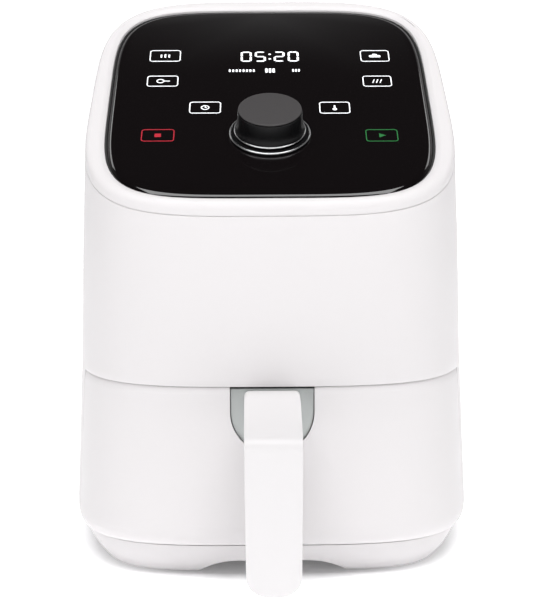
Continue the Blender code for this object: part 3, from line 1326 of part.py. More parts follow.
def make_cord_gland(body):
    """Gland in the back wall where the mains cord would leave."""
    outside = GLAND_BACK_Y
    rods = [((GLAND_X, outside, GLAND_Z), (GLAND_X, outside - GLAND_PROUD + 0.0002, GLAND_Z),
             GLAND_FLANGE_RADIUS - 0.0008, GLAND_FLANGE_RADIUS)]
    gland = add_part("cord_gland", rods_mesh("cord_gland", rods, 24), rubber(), body)
    neck = rods_mesh("gland_neck", [((GLAND_X, outside - 0.0010, GLAND_Z),
                                     (GLAND_X, gland_end_y(), GLAND_Z), GLAND_RADIUS)], 24)
    combine(gland, add_cutter("gland_neck", neck, body), "UNION")
    mouth = rods_mesh("gland_mouth", [((GLAND_X, outside + 0.01, GLAND_Z),
                                       (GLAND_X, outside - 0.0030, GLAND_Z), 0.0036)], 20)
    return combine(gland, add_cutter("gland_mouth", mouth, body))


def curve_through(points, steps):
    """Smooth points through hand-placed ones (Catmull-Rom)."""
    ends = [2 * points[0] - points[1]] + points + [2 * points[-1] - points[-2]]
    smooth_points = []
    for a, b, c, d in zip(ends, ends[1:], ends[2:], ends[3:]):
        for i in range(steps):
            t = i / steps
            smooth_points.append(0.5 * (2 * b + (c - a) * t + (2 * a - 5 * b + 4 * c - d) * t ** 2
                                        + (3 * b - a - 3 * c + d) * t ** 3))
    smooth_points.append(points[-1])
    return smooth_points


def make_inner_lead(body):
    """Mains lead inside the body: from the gland up behind the chamber to above the deck."""
    y = lead_y()
    start = Vector((GLAND_X, gland_end_y() - 4.0 * GAP, GLAND_Z))
    points = [start, start - Vector((0.0, 0.0020, 0.0)), Vector((GLAND_X, y + 0.0008, GLAND_Z + 0.0030)),
              Vector((GLAND_X, y, GLAND_Z + 0.0100)), Vector((GLAND_X, y, 0.5 * (GLAND_Z + DRAWER_TOP))),
              Vector((GLAND_X, y, DECK_TOP + 0.0250))]
    mesh = tube_mesh("inner_lead", curve_through(points, 3), 0.0026)
    return smooth(add_part("inner_lead", mesh, black_plastic(), body))


def build_air_fryer():
    clear_scene()
    make_collection(PARTS)
    make_collection(CUTTERS)
    body = empty("body_frame", (0.0, BODY_SHIFT_Y, 0.0))
    chamber = empty("chamber_frame", (0.0, PAN_Y, 0.0), body)
    panel = empty("panel_frame", (0.0, 0.0, PANEL_Z), body, (PANEL_SLOPE, 0.0, 0.0))
    knob_axis = empty("knob_axis", (0.0, KNOB_S, 0.0), panel)
    rotor_axis = empty("rotor_axis", (0.0, 0.0, 0.0), chamber)
    tray = empty("tray_frame", (0.0, PAN_Y, 0.0), body)
    plunger_axis = empty("plunger_axis", (SWITCH_X, switch_body_y(), switch_z()), body)

    make_housing(body)
    make_rear_grille(body)
    make_base(body)
    make_rubber_feet(body)
    make_base_screws(body)

    make_panel_bezel(body)
    make_glass_gasket(panel)
    make_glass_panel(panel)
    make_control_board(panel)
    make_light_guide(panel)
    make_display_module(panel)
    make_encoder(panel)
    make_knob_ring(panel)
    make_dial(knob_axis)

    make_drawer_front(body)
    make_drawer_panel(body)
    make_handle_plate(body)
    make_handle_bracket(body)
    make_handle_screws(body)
    make_handle(body)
    make_pan(body)
    make_pan_screws(body)
    make_crisper_tray(tray)
    make_tray_bumpers(tray)

    make_liner(body)
    make_guides(body)
    make_heater_guard(chamber)
    make_heater(chamber)
    make_reflector(chamber)
    make_insulation(chamber)
    make_rotor(rotor_axis)
    make_motor(chamber)
    make_motor_mount(chamber)
    make_deck(body, chamber)
    make_exhaust_duct(body)
    make_sensors(chamber)

    make_drawer_switch(body, plunger_axis)
    make_power_board(body)
    make_cord_gland(body)
    make_inner_lead(body)


build_air_fryer()
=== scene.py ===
# %% [markdown]
# # A compact air fryer
#
# This file dresses the solid model of a small air fryer: white satin shells, a sloped black touch
# glass with a dial, a drop handle on a pull-out drawer, and everything inside it. The solids are
# loaded first and stay where they are. Each visible one then gets a finer piece or a finish.

import json
import math

import bpy
from mathutils import Matrix, Vector


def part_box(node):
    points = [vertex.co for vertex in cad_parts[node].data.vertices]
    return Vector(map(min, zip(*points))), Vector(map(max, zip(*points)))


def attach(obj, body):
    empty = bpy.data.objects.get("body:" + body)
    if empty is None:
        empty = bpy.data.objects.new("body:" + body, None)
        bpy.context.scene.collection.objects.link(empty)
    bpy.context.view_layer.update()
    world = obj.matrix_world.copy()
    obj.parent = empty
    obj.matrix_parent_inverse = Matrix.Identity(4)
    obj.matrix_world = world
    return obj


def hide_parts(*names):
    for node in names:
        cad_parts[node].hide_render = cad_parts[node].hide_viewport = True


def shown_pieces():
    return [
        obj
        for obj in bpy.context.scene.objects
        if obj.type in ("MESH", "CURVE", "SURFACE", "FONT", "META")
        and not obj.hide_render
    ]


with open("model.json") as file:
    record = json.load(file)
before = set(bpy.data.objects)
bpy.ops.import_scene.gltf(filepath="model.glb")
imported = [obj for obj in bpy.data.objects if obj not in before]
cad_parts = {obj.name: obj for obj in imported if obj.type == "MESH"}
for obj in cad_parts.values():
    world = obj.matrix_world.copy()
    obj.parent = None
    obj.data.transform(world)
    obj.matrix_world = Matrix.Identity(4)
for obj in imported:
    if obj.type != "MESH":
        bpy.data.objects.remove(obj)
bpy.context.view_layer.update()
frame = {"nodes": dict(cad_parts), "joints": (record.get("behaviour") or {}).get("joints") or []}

# %% [markdown]
# ## Sizes
#
# The heights and widths are read from the solids, so that the fine pieces sit exactly where the
# coarse ones are. The numbers could be typed in again, but then a changed solid would leave its
# fine piece behind. Only the drafts, the roundness of the corners and the dial's place on the
# slope are stated here.

# %% Heights, widths and the panel's tilt
MM = 0.001
BELOW, FAR = -0.01, 0.3
front_low, front_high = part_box("drawer_front")
shell_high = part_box("housing")[1]
base_low, base_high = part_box("base")

widest_z = 28.0 * MM
half_width = shell_high.x
middle_y = 0.5 * (front_low.y + shell_high.y)
half_depth = 0.5 * (shell_high.y - front_low.y)
side_draft, front_draft, back_draft = (math.radians(a) for a in (2.5, 1.3, 0.4))
wall_thickness = 2.5 * MM
drawer_bottom, drawer_top = front_low.z, front_high.z
shell_edge = drawer_top + 0.3 * MM
base_top = base_high.z
wrap_y = front_high.y + 0.3 * MM

dial_joint = next(j for j in frame["joints"] if j["name"] == "dial_turn")
dial_point = Vector(dial_joint["pos_m"])
panel_normal = Vector(dial_joint["axis"]).normalized()
panel_up = Vector((0.0, panel_normal.z, -panel_normal.y))
panel_tan = panel_up.z / panel_up.y
dial_s = -39.6 * MM   # the dial's axis, measured down the slope from the panel's middle
panel_middle = dial_point - dial_s * panel_up
panel_z = panel_middle.z
print("drawer front from", drawer_bottom, "to", drawer_top)
print("panel middle at height", panel_z)


def half_width_at(z):
    return half_width - math.tan(side_draft) * (z - widest_z)


def front_depth_at(z):
    return half_depth - math.tan(front_draft) * (z - widest_z)


def back_depth_at(z):
    return half_depth - math.tan(back_draft) * (z - widest_z)


# %% [markdown]
# ## The body's outline
#
# Seen from above, the body is a square with soft corners. A superellipse makes one from a single
# number, its squareness: 2 is an ellipse and a large number is a box. The corners are softest at
# the seam over the drawer and squarer towards the base and the shoulder.

# %% The soft square
SQUARENESS_BASE, SQUARENESS_SEAM, SQUARENESS_SHOULDER = 3.90, 3.55, 4.05
shoulder_z = drawer_top + 72.0 * MM


def ease(share):
    share = min(max(share, 0.0), 1.0)
    return share * share * (3.0 - 2.0 * share)


def squareness_at(z):
    if z < drawer_top:
        share = (z - base_top) / (drawer_top - base_top)
        return SQUARENESS_BASE + share * (SQUARENESS_SEAM - SQUARENESS_BASE)
    share = ease((z - drawer_top) / (shoulder_z - drawer_top))
    return SQUARENESS_SEAM + share * (SQUARENESS_SHOULDER - SQUARENESS_SEAM)


def soft_square(angle, half_x, half_y, squareness):
    """The point of a superellipse in the direction angle from its middle."""
    c, s = math.cos(angle), math.sin(angle)
    reach = (abs(c / half_x) ** squareness + abs(s / half_y) ** squareness) ** (-1.0 / squareness)
    return reach * c, reach * s


def wall_point(angle, z, inset=0.0):
    front, back = front_depth_at(z) - inset, back_depth_at(z) - inset
    x, y = soft_square(angle, half_width_at(z) - inset, 0.5 * (front + back), squareness_at(z))
    return Vector((x, middle_y + 0.5 * (back - front) + y, z))


def slope_point(angle, axis_z, inset=0.0):
    """Where the wall meets a plane parallel to the panel that crosses the middle at axis_z."""
    z = axis_z
    for _ in range(14):
        point = wall_point(angle, z, inset)
        z = axis_z + (point.y - middle_y) * panel_tan
    return wall_point(angle, z, inset)


def on_panel(x, s, height=0.0):
    """A point on the sloped glass: x to the right, s up the slope, height out of the glass."""
    return panel_middle + Vector((x, 0.0, 0.0)) + s * panel_up + height * panel_normal


# %% [markdown]
# ## Making one piece
#
# Nearly every piece here is a stack of rings, as if it were thrown on a wheel that isn't round. A
# circle is added, its edge is extruded once for each further ring, and the rings are then moved
# to their places. A subdivided cube would need fewer rows, but its corners couldn't follow a
# formula. Rings keep the faces in neat rows, which shade smoothly.

# %% Helpers for rings, cuts and modifiers
def deselect():
    bpy.ops.object.select_all(action="DESELECT")


def activate(piece):
    deselect()
    piece.select_set(True)
    bpy.context.view_layer.objects.active = piece


def stack_of_rings(name, columns, rows, ends="open"):
    """rows are functions from a column's number to its place. ends is open, capped or joined."""
    deselect()
    bpy.ops.mesh.primitive_circle_add(vertices=columns, radius=1.0, fill_type="NOTHING")
    piece = bpy.context.object
    piece.name = piece.data.name = name
    bpy.ops.object.mode_set(mode="EDIT")
    bpy.ops.mesh.select_all(action="SELECT")
    for _ in rows[1:]:
        bpy.ops.mesh.extrude_region_move(TRANSFORM_OT_translate={"value": (0.0, 0.0, 1.0)})
    bpy.ops.mesh.select_all(action="SELECT")
    if ends == "capped":
        bpy.ops.mesh.fill_holes(sides=0)
    if ends == "joined":
        bpy.ops.mesh.region_to_loop()
        bpy.ops.mesh.bridge_edge_loops()
    bpy.ops.object.mode_set(mode="OBJECT")
    step = 2.0 * math.pi / columns
    for vertex in piece.data.vertices:
        angle = math.atan2(vertex.co.y, vertex.co.x) % (2.0 * math.pi)
        column = int(angle / step + 0.2) % columns
        vertex.co = rows[round(vertex.co.z)](column)
    bpy.ops.object.mode_set(mode="EDIT")
    bpy.ops.mesh.select_all(action="SELECT")
    bpy.ops.mesh.normals_make_consistent(inside=False)
    bpy.ops.object.mode_set(mode="OBJECT")
    return piece


def face_outwards(piece, centre):
    """Turns an open shell right side out, seen from its centre."""
    total = sum((f.center - centre).dot(f.normal) * f.area for f in piece.data.polygons)
    if total < 0.0:
        activate(piece)
        bpy.ops.object.mode_set(mode="EDIT")
        bpy.ops.mesh.select_all(action="SELECT")
        bpy.ops.mesh.flip_normals()
        bpy.ops.object.mode_set(mode="OBJECT")


def apply_modifier(piece, kind, **settings):
    modifier = piece.modifiers.new(kind.lower(), kind)
    for key, value in settings.items():
        setattr(modifier, key, value)
    activate(piece)
    bpy.ops.object.modifier_apply(modifier=modifier.name)


def cut(piece, *cutters, operation="DIFFERENCE"):
    for cutter in cutters:
        apply_modifier(piece, "BOOLEAN", object=cutter, operation=operation, solver="EXACT")
        bpy.data.objects.remove(cutter, do_unlink=True)


def soften(piece, width, angle=35.0, segments=3):
    """Rounds every sharp edge, as a mould does."""
    apply_modifier(piece, "BEVEL", width=width, segments=segments, limit_method="ANGLE",
                   angle_limit=math.radians(angle), harden_normals=False, use_clamp_overlap=True)


def block(name, low, high):
    """A box between two corners, for cutting and for square pieces."""
    deselect()
    low, high = Vector(low), Vector(high)
    bpy.ops.mesh.primitive_cube_add(size=1.0, location=0.5 * (low + high), scale=high - low)
    piece = bpy.context.object
    piece.name = piece.data.name = name
    bpy.ops.object.transform_apply(location=True, rotation=True, scale=True)
    return piece


def rod(name, start, end, radius, sides=32, end_radius=None):
    """A round bar between two points."""
    start, end = Vector(start), Vector(end)
    run = (end - start).normalized()
    across = run.orthogonal().normalized()
    over = run.cross(across)

    def ring(centre, size):
        def place(column):
            angle = 2.0 * math.pi * column / sides
            return centre + size * (math.cos(angle) * across + math.sin(angle) * over)
        return place

    return stack_of_rings(name, sides, [ring(start, radius), ring(end, end_radius or radius)], "capped")


def turned(name, profile, origin, axis=Vector((0.0, 0.0, 1.0)), sides=96, ends="capped"):
    """A turned piece: rings of (radius, height) round an axis."""
    across = axis.orthogonal().normalized()
    over = axis.cross(across)

    def ring(radius, height):
        def place(column):
            angle = 2.0 * math.pi * column / sides
            return (origin + height * axis
                    + max(radius, 1e-6) * (math.cos(angle) * across + math.sin(angle) * over))
        return place

    return stack_of_rings(name, sides, [ring(r, h) for r, h in profile], ends)


def join(name, pieces):
    """Several loose shapes as one piece."""
    deselect()
    for piece in pieces:
        piece.select_set(True)
    bpy.context.view_layer.objects.active = pieces[0]
    bpy.ops.object.join()
    pieces[0].name = pieces[0].data.name = name
    return pieces[0]


def arc(centre, radius, start, end, steps):
    """Points (u, v) on an arc between two angles in degrees."""
    points = []
    for i in range(steps + 1):
        angle = math.radians(start + (end - start) * i / steps)
        points.append((centre[0] + radius * math.cos(angle), centre[1] + radius * math.sin(angle)))
    return points


def rounding(steps):
    """Shares (along, in) of a quarter-round edge, from its far end to the flat."""
    turns = [0.5 * math.pi * i / steps for i in range(steps + 1)]
    return [(1.0 - math.cos(turn), 1.0 - math.sin(turn)) for turn in turns]


# %% [markdown]
# ## Finishes
#
# Each finish is a Principled shader with its colour, its roughness and a fine surface made from
# noise on Object coordinates, which are metres here. A moulded shell has a faint orange peel, a
# coated pan has speckles, and drawn or rolled metal has streaks in one direction.

# %% Finishes
def finish_nodes(name, color, roughness, metallic=0.0):
    material = bpy.data.materials.new(name)
    material.use_nodes = True
    shader = material.node_tree.nodes["Principled BSDF"]
    shader.inputs["Base Color"].default_value = (*color, 1.0)
    shader.inputs["Roughness"].default_value = roughness
    shader.inputs["Metallic"].default_value = metallic
    return material, shader


def noise(material, scale, detail=3.0, stretch=(1.0, 1.0, 1.0)):
    tree = material.node_tree
    coordinates = tree.nodes.new("ShaderNodeTexCoord")
    mapping = tree.nodes.new("ShaderNodeMapping")
    mapping.inputs["Scale"].default_value = stretch
    texture = tree.nodes.new("ShaderNodeTexNoise")
    texture.inputs["Scale"].default_value = scale
    texture.inputs["Detail"].default_value = detail
    tree.links.new(coordinates.outputs["Object"], mapping.inputs["Vector"])
    tree.links.new(mapping.outputs["Vector"], texture.inputs["Vector"])
    return texture.outputs["Fac"]


def spread(material, value, low, high):
    """Maps a 0 to 1 value onto a range."""
    node = material.node_tree.nodes.new("ShaderNodeMapRange")
    node.inputs["To Min"].default_value = low
    node.inputs["To Max"].default_value = high
    material.node_tree.links.new(value, node.inputs["Value"])
    return node.outputs["Result"]


def tint(material, shader, value, first, second):
    """Colour that drifts between two shades with a 0 to 1 value."""
    node = material.node_tree.nodes.new("ShaderNodeMix")
    node.data_type = "RGBA"
    node.inputs["A"].default_value = (*first, 1.0)
    node.inputs["B"].default_value = (*second, 1.0)
    material.node_tree.links.new(value, node.inputs["Factor"])
    material.node_tree.links.new(node.outputs["Result"], shader.inputs["Base Color"])


def grain(material, shader, value, strength, depth):
    node = material.node_tree.nodes.new("ShaderNodeBump")
    node.inputs["Strength"].default_value = strength
    node.inputs["Distance"].default_value = depth
    material.node_tree.links.new(value, node.inputs["Height"])
    material.node_tree.links.new(node.outputs["Normal"], shader.inputs["Normal"])


def moulded(name, color, roughness, texture_scale=1400.0, strength=0.10, drift=0.03, gloss=0.5):
    """Injection-moulded plastic: nearly even colour, faint texture."""
    material, shader = finish_nodes(name, color, roughness)
    shader.inputs["Specular IOR Level"].default_value = gloss
    patches = noise(material, 14.0, 2.0)
    darker = tuple(max(c - drift * c, 0.0) for c in color)
    tint(material, shader, patches, darker, color)
    fine = noise(material, texture_scale, 2.0)
    grain(material, shader, fine, strength, 0.05 * MM)
    roughness_link = spread(material, noise(material, 60.0, 3.0), roughness - 0.03, roughness + 0.03)
    material.node_tree.links.new(roughness_link, shader.inputs["Roughness"])
    return material


def streaked(name, color, roughness, stretch, metallic=1.0, depth=0.03):
    """Rolled or drawn metal: fine streaks in one direction."""
    material, shader = finish_nodes(name, color, roughness, metallic)
    lines = noise(material, 220.0, 4.0, stretch)
    tint(material, shader, lines, tuple(0.82 * c for c in color), color)
    rough = spread(material, lines, roughness - 0.08, roughness + 0.10)
    material.node_tree.links.new(rough, shader.inputs["Roughness"])
    grain(material, shader, lines, 0.25, depth * MM)
    return material


def coated(name, color, fleck, roughness):
    """Non-stick coating: dark, slightly pebbled, with pale flecks."""
    material, shader = finish_nodes(name, color, roughness, 0.25)
    tree = material.node_tree
    coordinates = tree.nodes.new("ShaderNodeTexCoord")
    cells = tree.nodes.new("ShaderNodeTexVoronoi")
    cells.inputs["Scale"].default_value = 420.0
    tree.links.new(coordinates.outputs["Object"], cells.inputs["Vector"])
    ramp = tree.nodes.new("ShaderNodeValToRGB")
    ramp.color_ramp.elements[0].position = 0.04
    ramp.color_ramp.elements[0].color = (*fleck, 1.0)
    ramp.color_ramp.elements[1].position = 0.13
    ramp.color_ramp.elements[1].color = (*color, 1.0)
    tree.links.new(cells.outputs["Distance"], ramp.inputs["Fac"])
    tree.links.new(ramp.outputs["Color"], shader.inputs["Base Color"])
    grain(material, shader, noise(material, 700.0, 3.0), 0.35, 0.06 * MM)
    return material


def glowing(name, color, strength):
    """A printed legend lit from behind."""
    material, shader = finish_nodes(name, tuple(0.8 * c for c in color), 0.4)
    shader.inputs["Emission Color"].default_value = (*color, 1.0)
    shader.inputs["Emission Strength"].default_value = strength
    fine = noise(material, 900.0, 2.0)
    grain(material, shader, fine, 0.05, 0.01 * MM)
    return material


white_satin = moulded("white_satin_plastic", (0.612, 0.594, 0.600), 0.45, drift=0.012, gloss=0.25)
white_handle = moulded("white_handle_plastic", (0.62, 0.606, 0.612), 0.42, drift=0.01, gloss=0.3)
recess_grey = streaked("recess_grey_satin", (0.36, 0.375, 0.37), 0.42, (1.0, 1.0, 0.04), 0.55, 0.01)
vent_grey = moulded("vent_grey_plastic", (0.30, 0.31, 0.31), 0.50)
black_moulded = moulded("black_moulded_plastic", (0.018, 0.018, 0.020), 0.42, drift=0.2)
black_gloss = moulded("black_gloss_plastic", (0.005, 0.005, 0.0055), 0.22,
                      strength=0.02, drift=0.1, gloss=0.12)
# painted highlight: a bright metal for the fine wires that stand in for the highlights on the dial's black
# edges
highlight_metal = streaked("dial_highlight_metal", (0.55, 0.55, 0.56), 0.22, (1.0, 1.0, 1.0), 1.0, 0.005)
dial_top = moulded("dial_top_matt", (0.034, 0.031, 0.032), 0.55, 1500.0, 1.0, 0.25, 0.4)
touch_glass_black = moulded("touch_glass_black", (0.0045, 0.0035, 0.0038), 0.06, 30.0, 0.004, 0.1, 0.4)
seal_black = moulded("seal_black_rubber", (0.012, 0.012, 0.012), 0.6)
coating = coated("non_stick_coating", (0.022, 0.022, 0.024), (0.16, 0.16, 0.17), 0.42)
rolled_steel = streaked("rolled_steel", (0.60, 0.60, 0.61), 0.34, (0.05, 1.0, 1.0))
drawn_steel = streaked("drawn_steel", (0.66, 0.66, 0.67), 0.28, (1.0, 1.0, 0.05))
element_steel = streaked("element_steel", (0.20, 0.175, 0.155), 0.38, (1.0, 1.0, 1.0))
foot_rubber = moulded("foot_rubber", (0.035, 0.035, 0.035), 0.85, 500.0, 0.5, 0.2)
silicone = moulded("silicone_grey", (0.10, 0.10, 0.105), 0.65, 700.0, 0.3, 0.2)
board_green = moulded("board_green", (0.03, 0.13, 0.06), 0.38, 300.0, 0.6, 0.5)
wool = moulded("mineral_wool", (0.55, 0.50, 0.38), 0.95, 350.0, 1.0, 0.35)
frosted = moulded("frosted_guide", (0.70, 0.72, 0.73), 0.50)
legend_white = glowing("legend_white", (0.95, 0.97, 1.0), 0.62)
legend_red = glowing("legend_red", (0.40, 0.01, 0.025), 0.35)
legend_green = glowing("legend_green", (0.010, 0.14, 0.03), 0.35)
print(len(bpy.data.materials), "finishes")


# %% [markdown]
# ## Handing a piece over
#
# Every finished piece goes through the same last steps, so one function does them. It bakes the
# piece's place into its mesh, smooths its soft edges, gives it one finish, hangs it on the moving
# body it rides on and hides the solid it stands in for.

# %% Handing a piece over
def hand_over(piece, body, material, replaces=(), smooth=35.0):
    """Shades a finished piece, gives it its finish and lets it ride on its body."""
    activate(piece)
    bpy.ops.object.transform_apply(location=True, rotation=True, scale=True)
    bpy.ops.object.shade_smooth_by_angle(angle=math.radians(smooth))
    piece.data.materials.clear()
    piece.data.materials.append(material)
    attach(piece, body)
    if replaces:
        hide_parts(*replaces)
    print(piece.name, len(piece.data.polygons), "faces on", body)


# %% [markdown]
# ## The upper shell
#
# The shell is one moulding that runs down to the base at the sides and back, and stops over the
# drawer in front. It is made as a full tube of soft squares up to the sloping rim. Two of its
# columns are laid exactly on the drawer's edges, so the faces that the drawer takes can simply be
# removed. A Boolean would cut the same gap, but it leaves slivers beside the cut, which shade
# badly. Solidify then adds the wall.

# %% Upper shell
COLUMNS, BACK_COLUMNS = 256, 150
EDGE_RISE, EDGE_INSET = 9.5 * MM, 3.8 * MM


def column_angle(column, columns=COLUMNS):
    return 2.0 * math.pi * column / columns


def wall_row(z, inset=0.0):
    return lambda column: wall_point(column_angle(column), z, inset)


def slope_row(axis_z, inset=0.0):
    return lambda column: slope_point(column_angle(column), axis_z, inset)


def seam_angles(seam_y, z, inset=0.0):
    """Column directions that meet the plane seam_y at column 0 and at BACK_COLUMNS."""
    low, high = -0.5 * math.pi, 0.5 * math.pi
    for _ in range(40):
        seam = 0.5 * (low + high)
        if wall_point(seam, z, inset).y < seam_y:
            low = seam
        else:
            high = seam

    def angle(column):
        if column <= BACK_COLUMNS:
            return seam + (math.pi - 2.0 * seam) * column / BACK_COLUMNS
        share = (column - BACK_COLUMNS) / (COLUMNS - BACK_COLUMNS)
        return math.pi - seam + (math.pi + 2.0 * seam) * share
    return angle


def seam_row(seam_y, z, inset=0.0):
    angle = seam_angles(seam_y, z, inset)
    return lambda column: wall_point(angle(column), z, inset)


def rim_row(seam_y, axis_z, inset=0.0):
    angle = seam_angles(seam_y, shell_edge)
    return lambda column: slope_point(angle(column), axis_z, inset)


def between_row(seam_y, share, axis_z):
    """A row part of the way from the drawer's seam up to the slope, along the wall."""
    angle = seam_angles(seam_y, shell_edge)

    def place(column):
        top = slope_point(angle(column), axis_z).z
        return wall_point(angle(column), shell_edge + share * (top - shell_edge))
    return place


lip_z = panel_z + 1.4 * MM / panel_normal.z
crease_z = lip_z - 6.2 * MM
crease_round = 0.6 * MM


def lower_rows(seam_y):
    """The rounded lower edge, up to where the wall runs straight."""
    return [seam_row(seam_y, drawer_bottom + EDGE_RISE * along, EDGE_INSET * inwards)
            for along, inwards in rounding(8)]


straight = drawer_bottom + EDGE_RISE
shell_seam, face_seam = wrap_y + 0.3 * MM, wrap_y - 0.3 * MM
shell_rows = lower_rows(shell_seam)
shell_rows += [seam_row(shell_seam, straight + (shell_edge - straight) * i / 10)
               for i in range(1, 11)]
rim_z = crease_z - 0.06 * MM - crease_round
shell_rows += [between_row(shell_seam, i / 20, rim_z) for i in range(1, 21)]
shell_rows += [rim_row(shell_seam, rim_z + crease_round * math.sin(turn),
                       crease_round * (1.0 - math.cos(turn)))
               for turn in (0.35, 0.8, 1.2, 0.5 * math.pi)]
upper_shell = stack_of_rings("upper_shell", COLUMNS, shell_rows)
face_outwards(upper_shell, Vector((0.0, middle_y, 0.12)))


# %% Take away the drawer's part and cut the openings
def remove_side(piece, y, keep_behind, below):
    """Removes the faces under a height that lie on one side of the plane y: the front if
    keep_behind is true, else the back."""
    activate(piece)
    bpy.ops.object.mode_set(mode="EDIT")
    bpy.ops.mesh.select_mode(type="FACE")
    bpy.ops.mesh.select_all(action="DESELECT")
    bpy.ops.object.mode_set(mode="OBJECT")
    for face in piece.data.polygons:
        in_front = face.center.y < y
        face.select = face.center.z < below and in_front == keep_behind
    bpy.ops.object.mode_set(mode="EDIT")
    bpy.ops.mesh.delete(type="FACE")
    bpy.ops.mesh.select_mode(type="VERT")
    bpy.ops.object.mode_set(mode="OBJECT")


remove_side(upper_shell, shell_seam, True, shell_edge)
apply_modifier(upper_shell, "SOLIDIFY", thickness=wall_thickness, offset=-1.0, use_even_offset=True)

vent_low, vent_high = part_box("rear_grille")
gland_low, gland_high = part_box("cord_gland")
gland_x, gland_z = 0.5 * (gland_low.x + gland_high.x), 0.5 * (gland_low.z + gland_high.z)
gap = Vector((0.3 * MM, 0.0, 0.3 * MM))
opening = block("vent_opening", vent_low - gap - Vector((0, 20 * MM, 0)),
                vent_high + gap + Vector((0, 20 * MM, 0)))
gland_hole = rod("gland_hole", (gland_x, gland_high.y - 15 * MM, gland_z),
                 (gland_x, gland_high.y + 5 * MM, gland_z), 6.4 * MM)
cut(upper_shell, opening, gland_hole)
soften(upper_shell, 0.25 * MM, 40.0, 2)
hand_over(upper_shell, "root", white_satin, ["housing"])

# %% [markdown]
# ## The drawer front
#
# The drawer's face wraps round both front corners. It is the same tube of soft squares as the
# shell, with the back removed this time, so the two walls line up. Its upper edge has a small
# chamfer, which shows as a soft double line under the seam. A window is cut for the grey plate
# behind the handle, and only there is a Boolean used, because the window's bottom is round.

# %% Drawer front
CHAMFER_RISE, CHAMFER_INSET = 4.2 * MM, 0.6 * MM
face_rows = lower_rows(face_seam)
chamfer_z = drawer_top - CHAMFER_RISE
face_rows += [seam_row(face_seam, straight + (chamfer_z - straight) * i / 10)
              for i in range(1, 11)]
CHAMFER_SHARES = ((0.10, 0.03), (0.30, 0.20), (0.60, 0.50), (0.88, 0.78), (0.97, 0.92), (1.0, 1.12))
face_rows += [seam_row(face_seam, chamfer_z + up * CHAMFER_RISE, inwards * CHAMFER_INSET)
              for up, inwards in CHAMFER_SHARES]
drawer_face = stack_of_rings("drawer_face", COLUMNS, face_rows)
face_outwards(drawer_face, Vector((0.0, middle_y, 0.06)))
remove_side(drawer_face, face_seam, False, FAR)
apply_modifier(drawer_face, "SOLIDIFY", thickness=wall_thickness, offset=-1.0, use_even_offset=True)

plate_low, plate_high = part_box("handle_plate")
plate_half = plate_high.x
plate_shoulder = drawer_top - 13.0 * MM


def plate_outline(grow, top):
    """Outline points (x, z) of the recess plate: straight sides and a round bottom."""
    half = plate_half + grow
    drop = 21.3 * MM + grow
    low = [(half * math.cos(math.radians(a)), plate_shoulder - drop * math.sin(math.radians(a)))
           for a in range(0, 181, 5)]
    return [(half, top)] + low + [(-half, top)]


def slab(name, outline, y_front, y_back):
    """An outline drawn in (x, z), as a slab between two depths."""
    def row(y):
        return lambda column: Vector((outline[column][0], y, outline[column][1]))
    return stack_of_rings(name, len(outline), [row(y_front), row(y_back)], "capped")


window = slab("plate_window", plate_outline(0.3 * MM, drawer_top + 5 * MM),
              plate_low.y - 20 * MM, plate_high.y + 10 * MM)
cut(drawer_face, window)
soften(drawer_face, 0.3 * MM, 40.0, 2)
hand_over(drawer_face, "drawer", white_satin, ["drawer_front"])

recess_plate = slab("recess_plate", plate_outline(0.0, plate_high.z), plate_low.y, plate_high.y)
soften(recess_plate, 0.35 * MM, 40.0, 2)
hand_over(recess_plate, "drawer", recess_grey, ["handle_plate"])

# %% [markdown]
# ## The handle
#
# The handle is an L that leaves the drawer, slopes down a little and drops in front of it. It is
# split along its sides into an outer shell and an inner cover. Each half is its side view made
# solid, trimmed by its front view with a Boolean, and then rounded along every edge.

# %% Handle halves
handle_low, handle_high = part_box("handle_shell")
handle_slope = math.radians(10.0)
neck_depth, shell_depth, grip_depth = 18.0 * MM, 8.0 * MM, 16.0 * MM
corner_radius = 7.5 * MM


def handle_path(depth_top, depth_front, radius):
    """One face of the handle seen from the side: root, corner, tip, at given depths inside it."""
    drop = depth_top / math.cos(handle_slope)
    front = handle_low.y + depth_front
    root = (handle_high.y, handle_high.z - drop)
    corner_z = handle_high.z - drop - math.tan(handle_slope) * (handle_high.y - front)
    reach = radius * math.tan(math.radians(45.0) - 0.5 * handle_slope)
    bend = arc((front + radius, corner_z - reach), radius, 100.0, 180.0, 12)
    return [root] + bend + [(front, handle_low.z)]


def handle_front_outline():
    """The handle seen from the front: small round shoulders, and a full round lower end."""
    root, tip = handle_high.x, handle_high.x - 0.6 * MM
    corner = 2.6 * MM
    upper = arc((root - corner, handle_high.z - corner), corner, 90.0, 0.0, 6)
    rise = 12.0 * MM
    fullness = 2.0 / 2.45
    lower = [(tip * math.cos(math.radians(a)) ** fullness,
              handle_low.z + rise * (1.0 - math.sin(math.radians(a)) ** fullness))
             for a in range(0, 86, 5)]
    lower.append((0.0, handle_low.z))
    right = upper + lower
    return right + [(-x, z) for x, z in reversed(right[:-1])]


def handle_half(name, near, far, round_edges):
    near_path, far_path = handle_path(*near), handle_path(*far)
    outline = near_path + list(reversed(far_path))
    width = 2.0 * handle_high.x

    def row(x):
        return lambda column: Vector((x, outline[column][0], outline[column][1]))

    half = stack_of_rings(name, len(outline), [row(-width), row(width)], "capped")
    front_view = slab(name + "_front_view", handle_front_outline(), handle_low.y - 20 * MM,
                      handle_high.y + 20 * MM)
    cut(half, front_view, operation="INTERSECT")
    soften(half, round_edges, 32.0, 4)
    return half


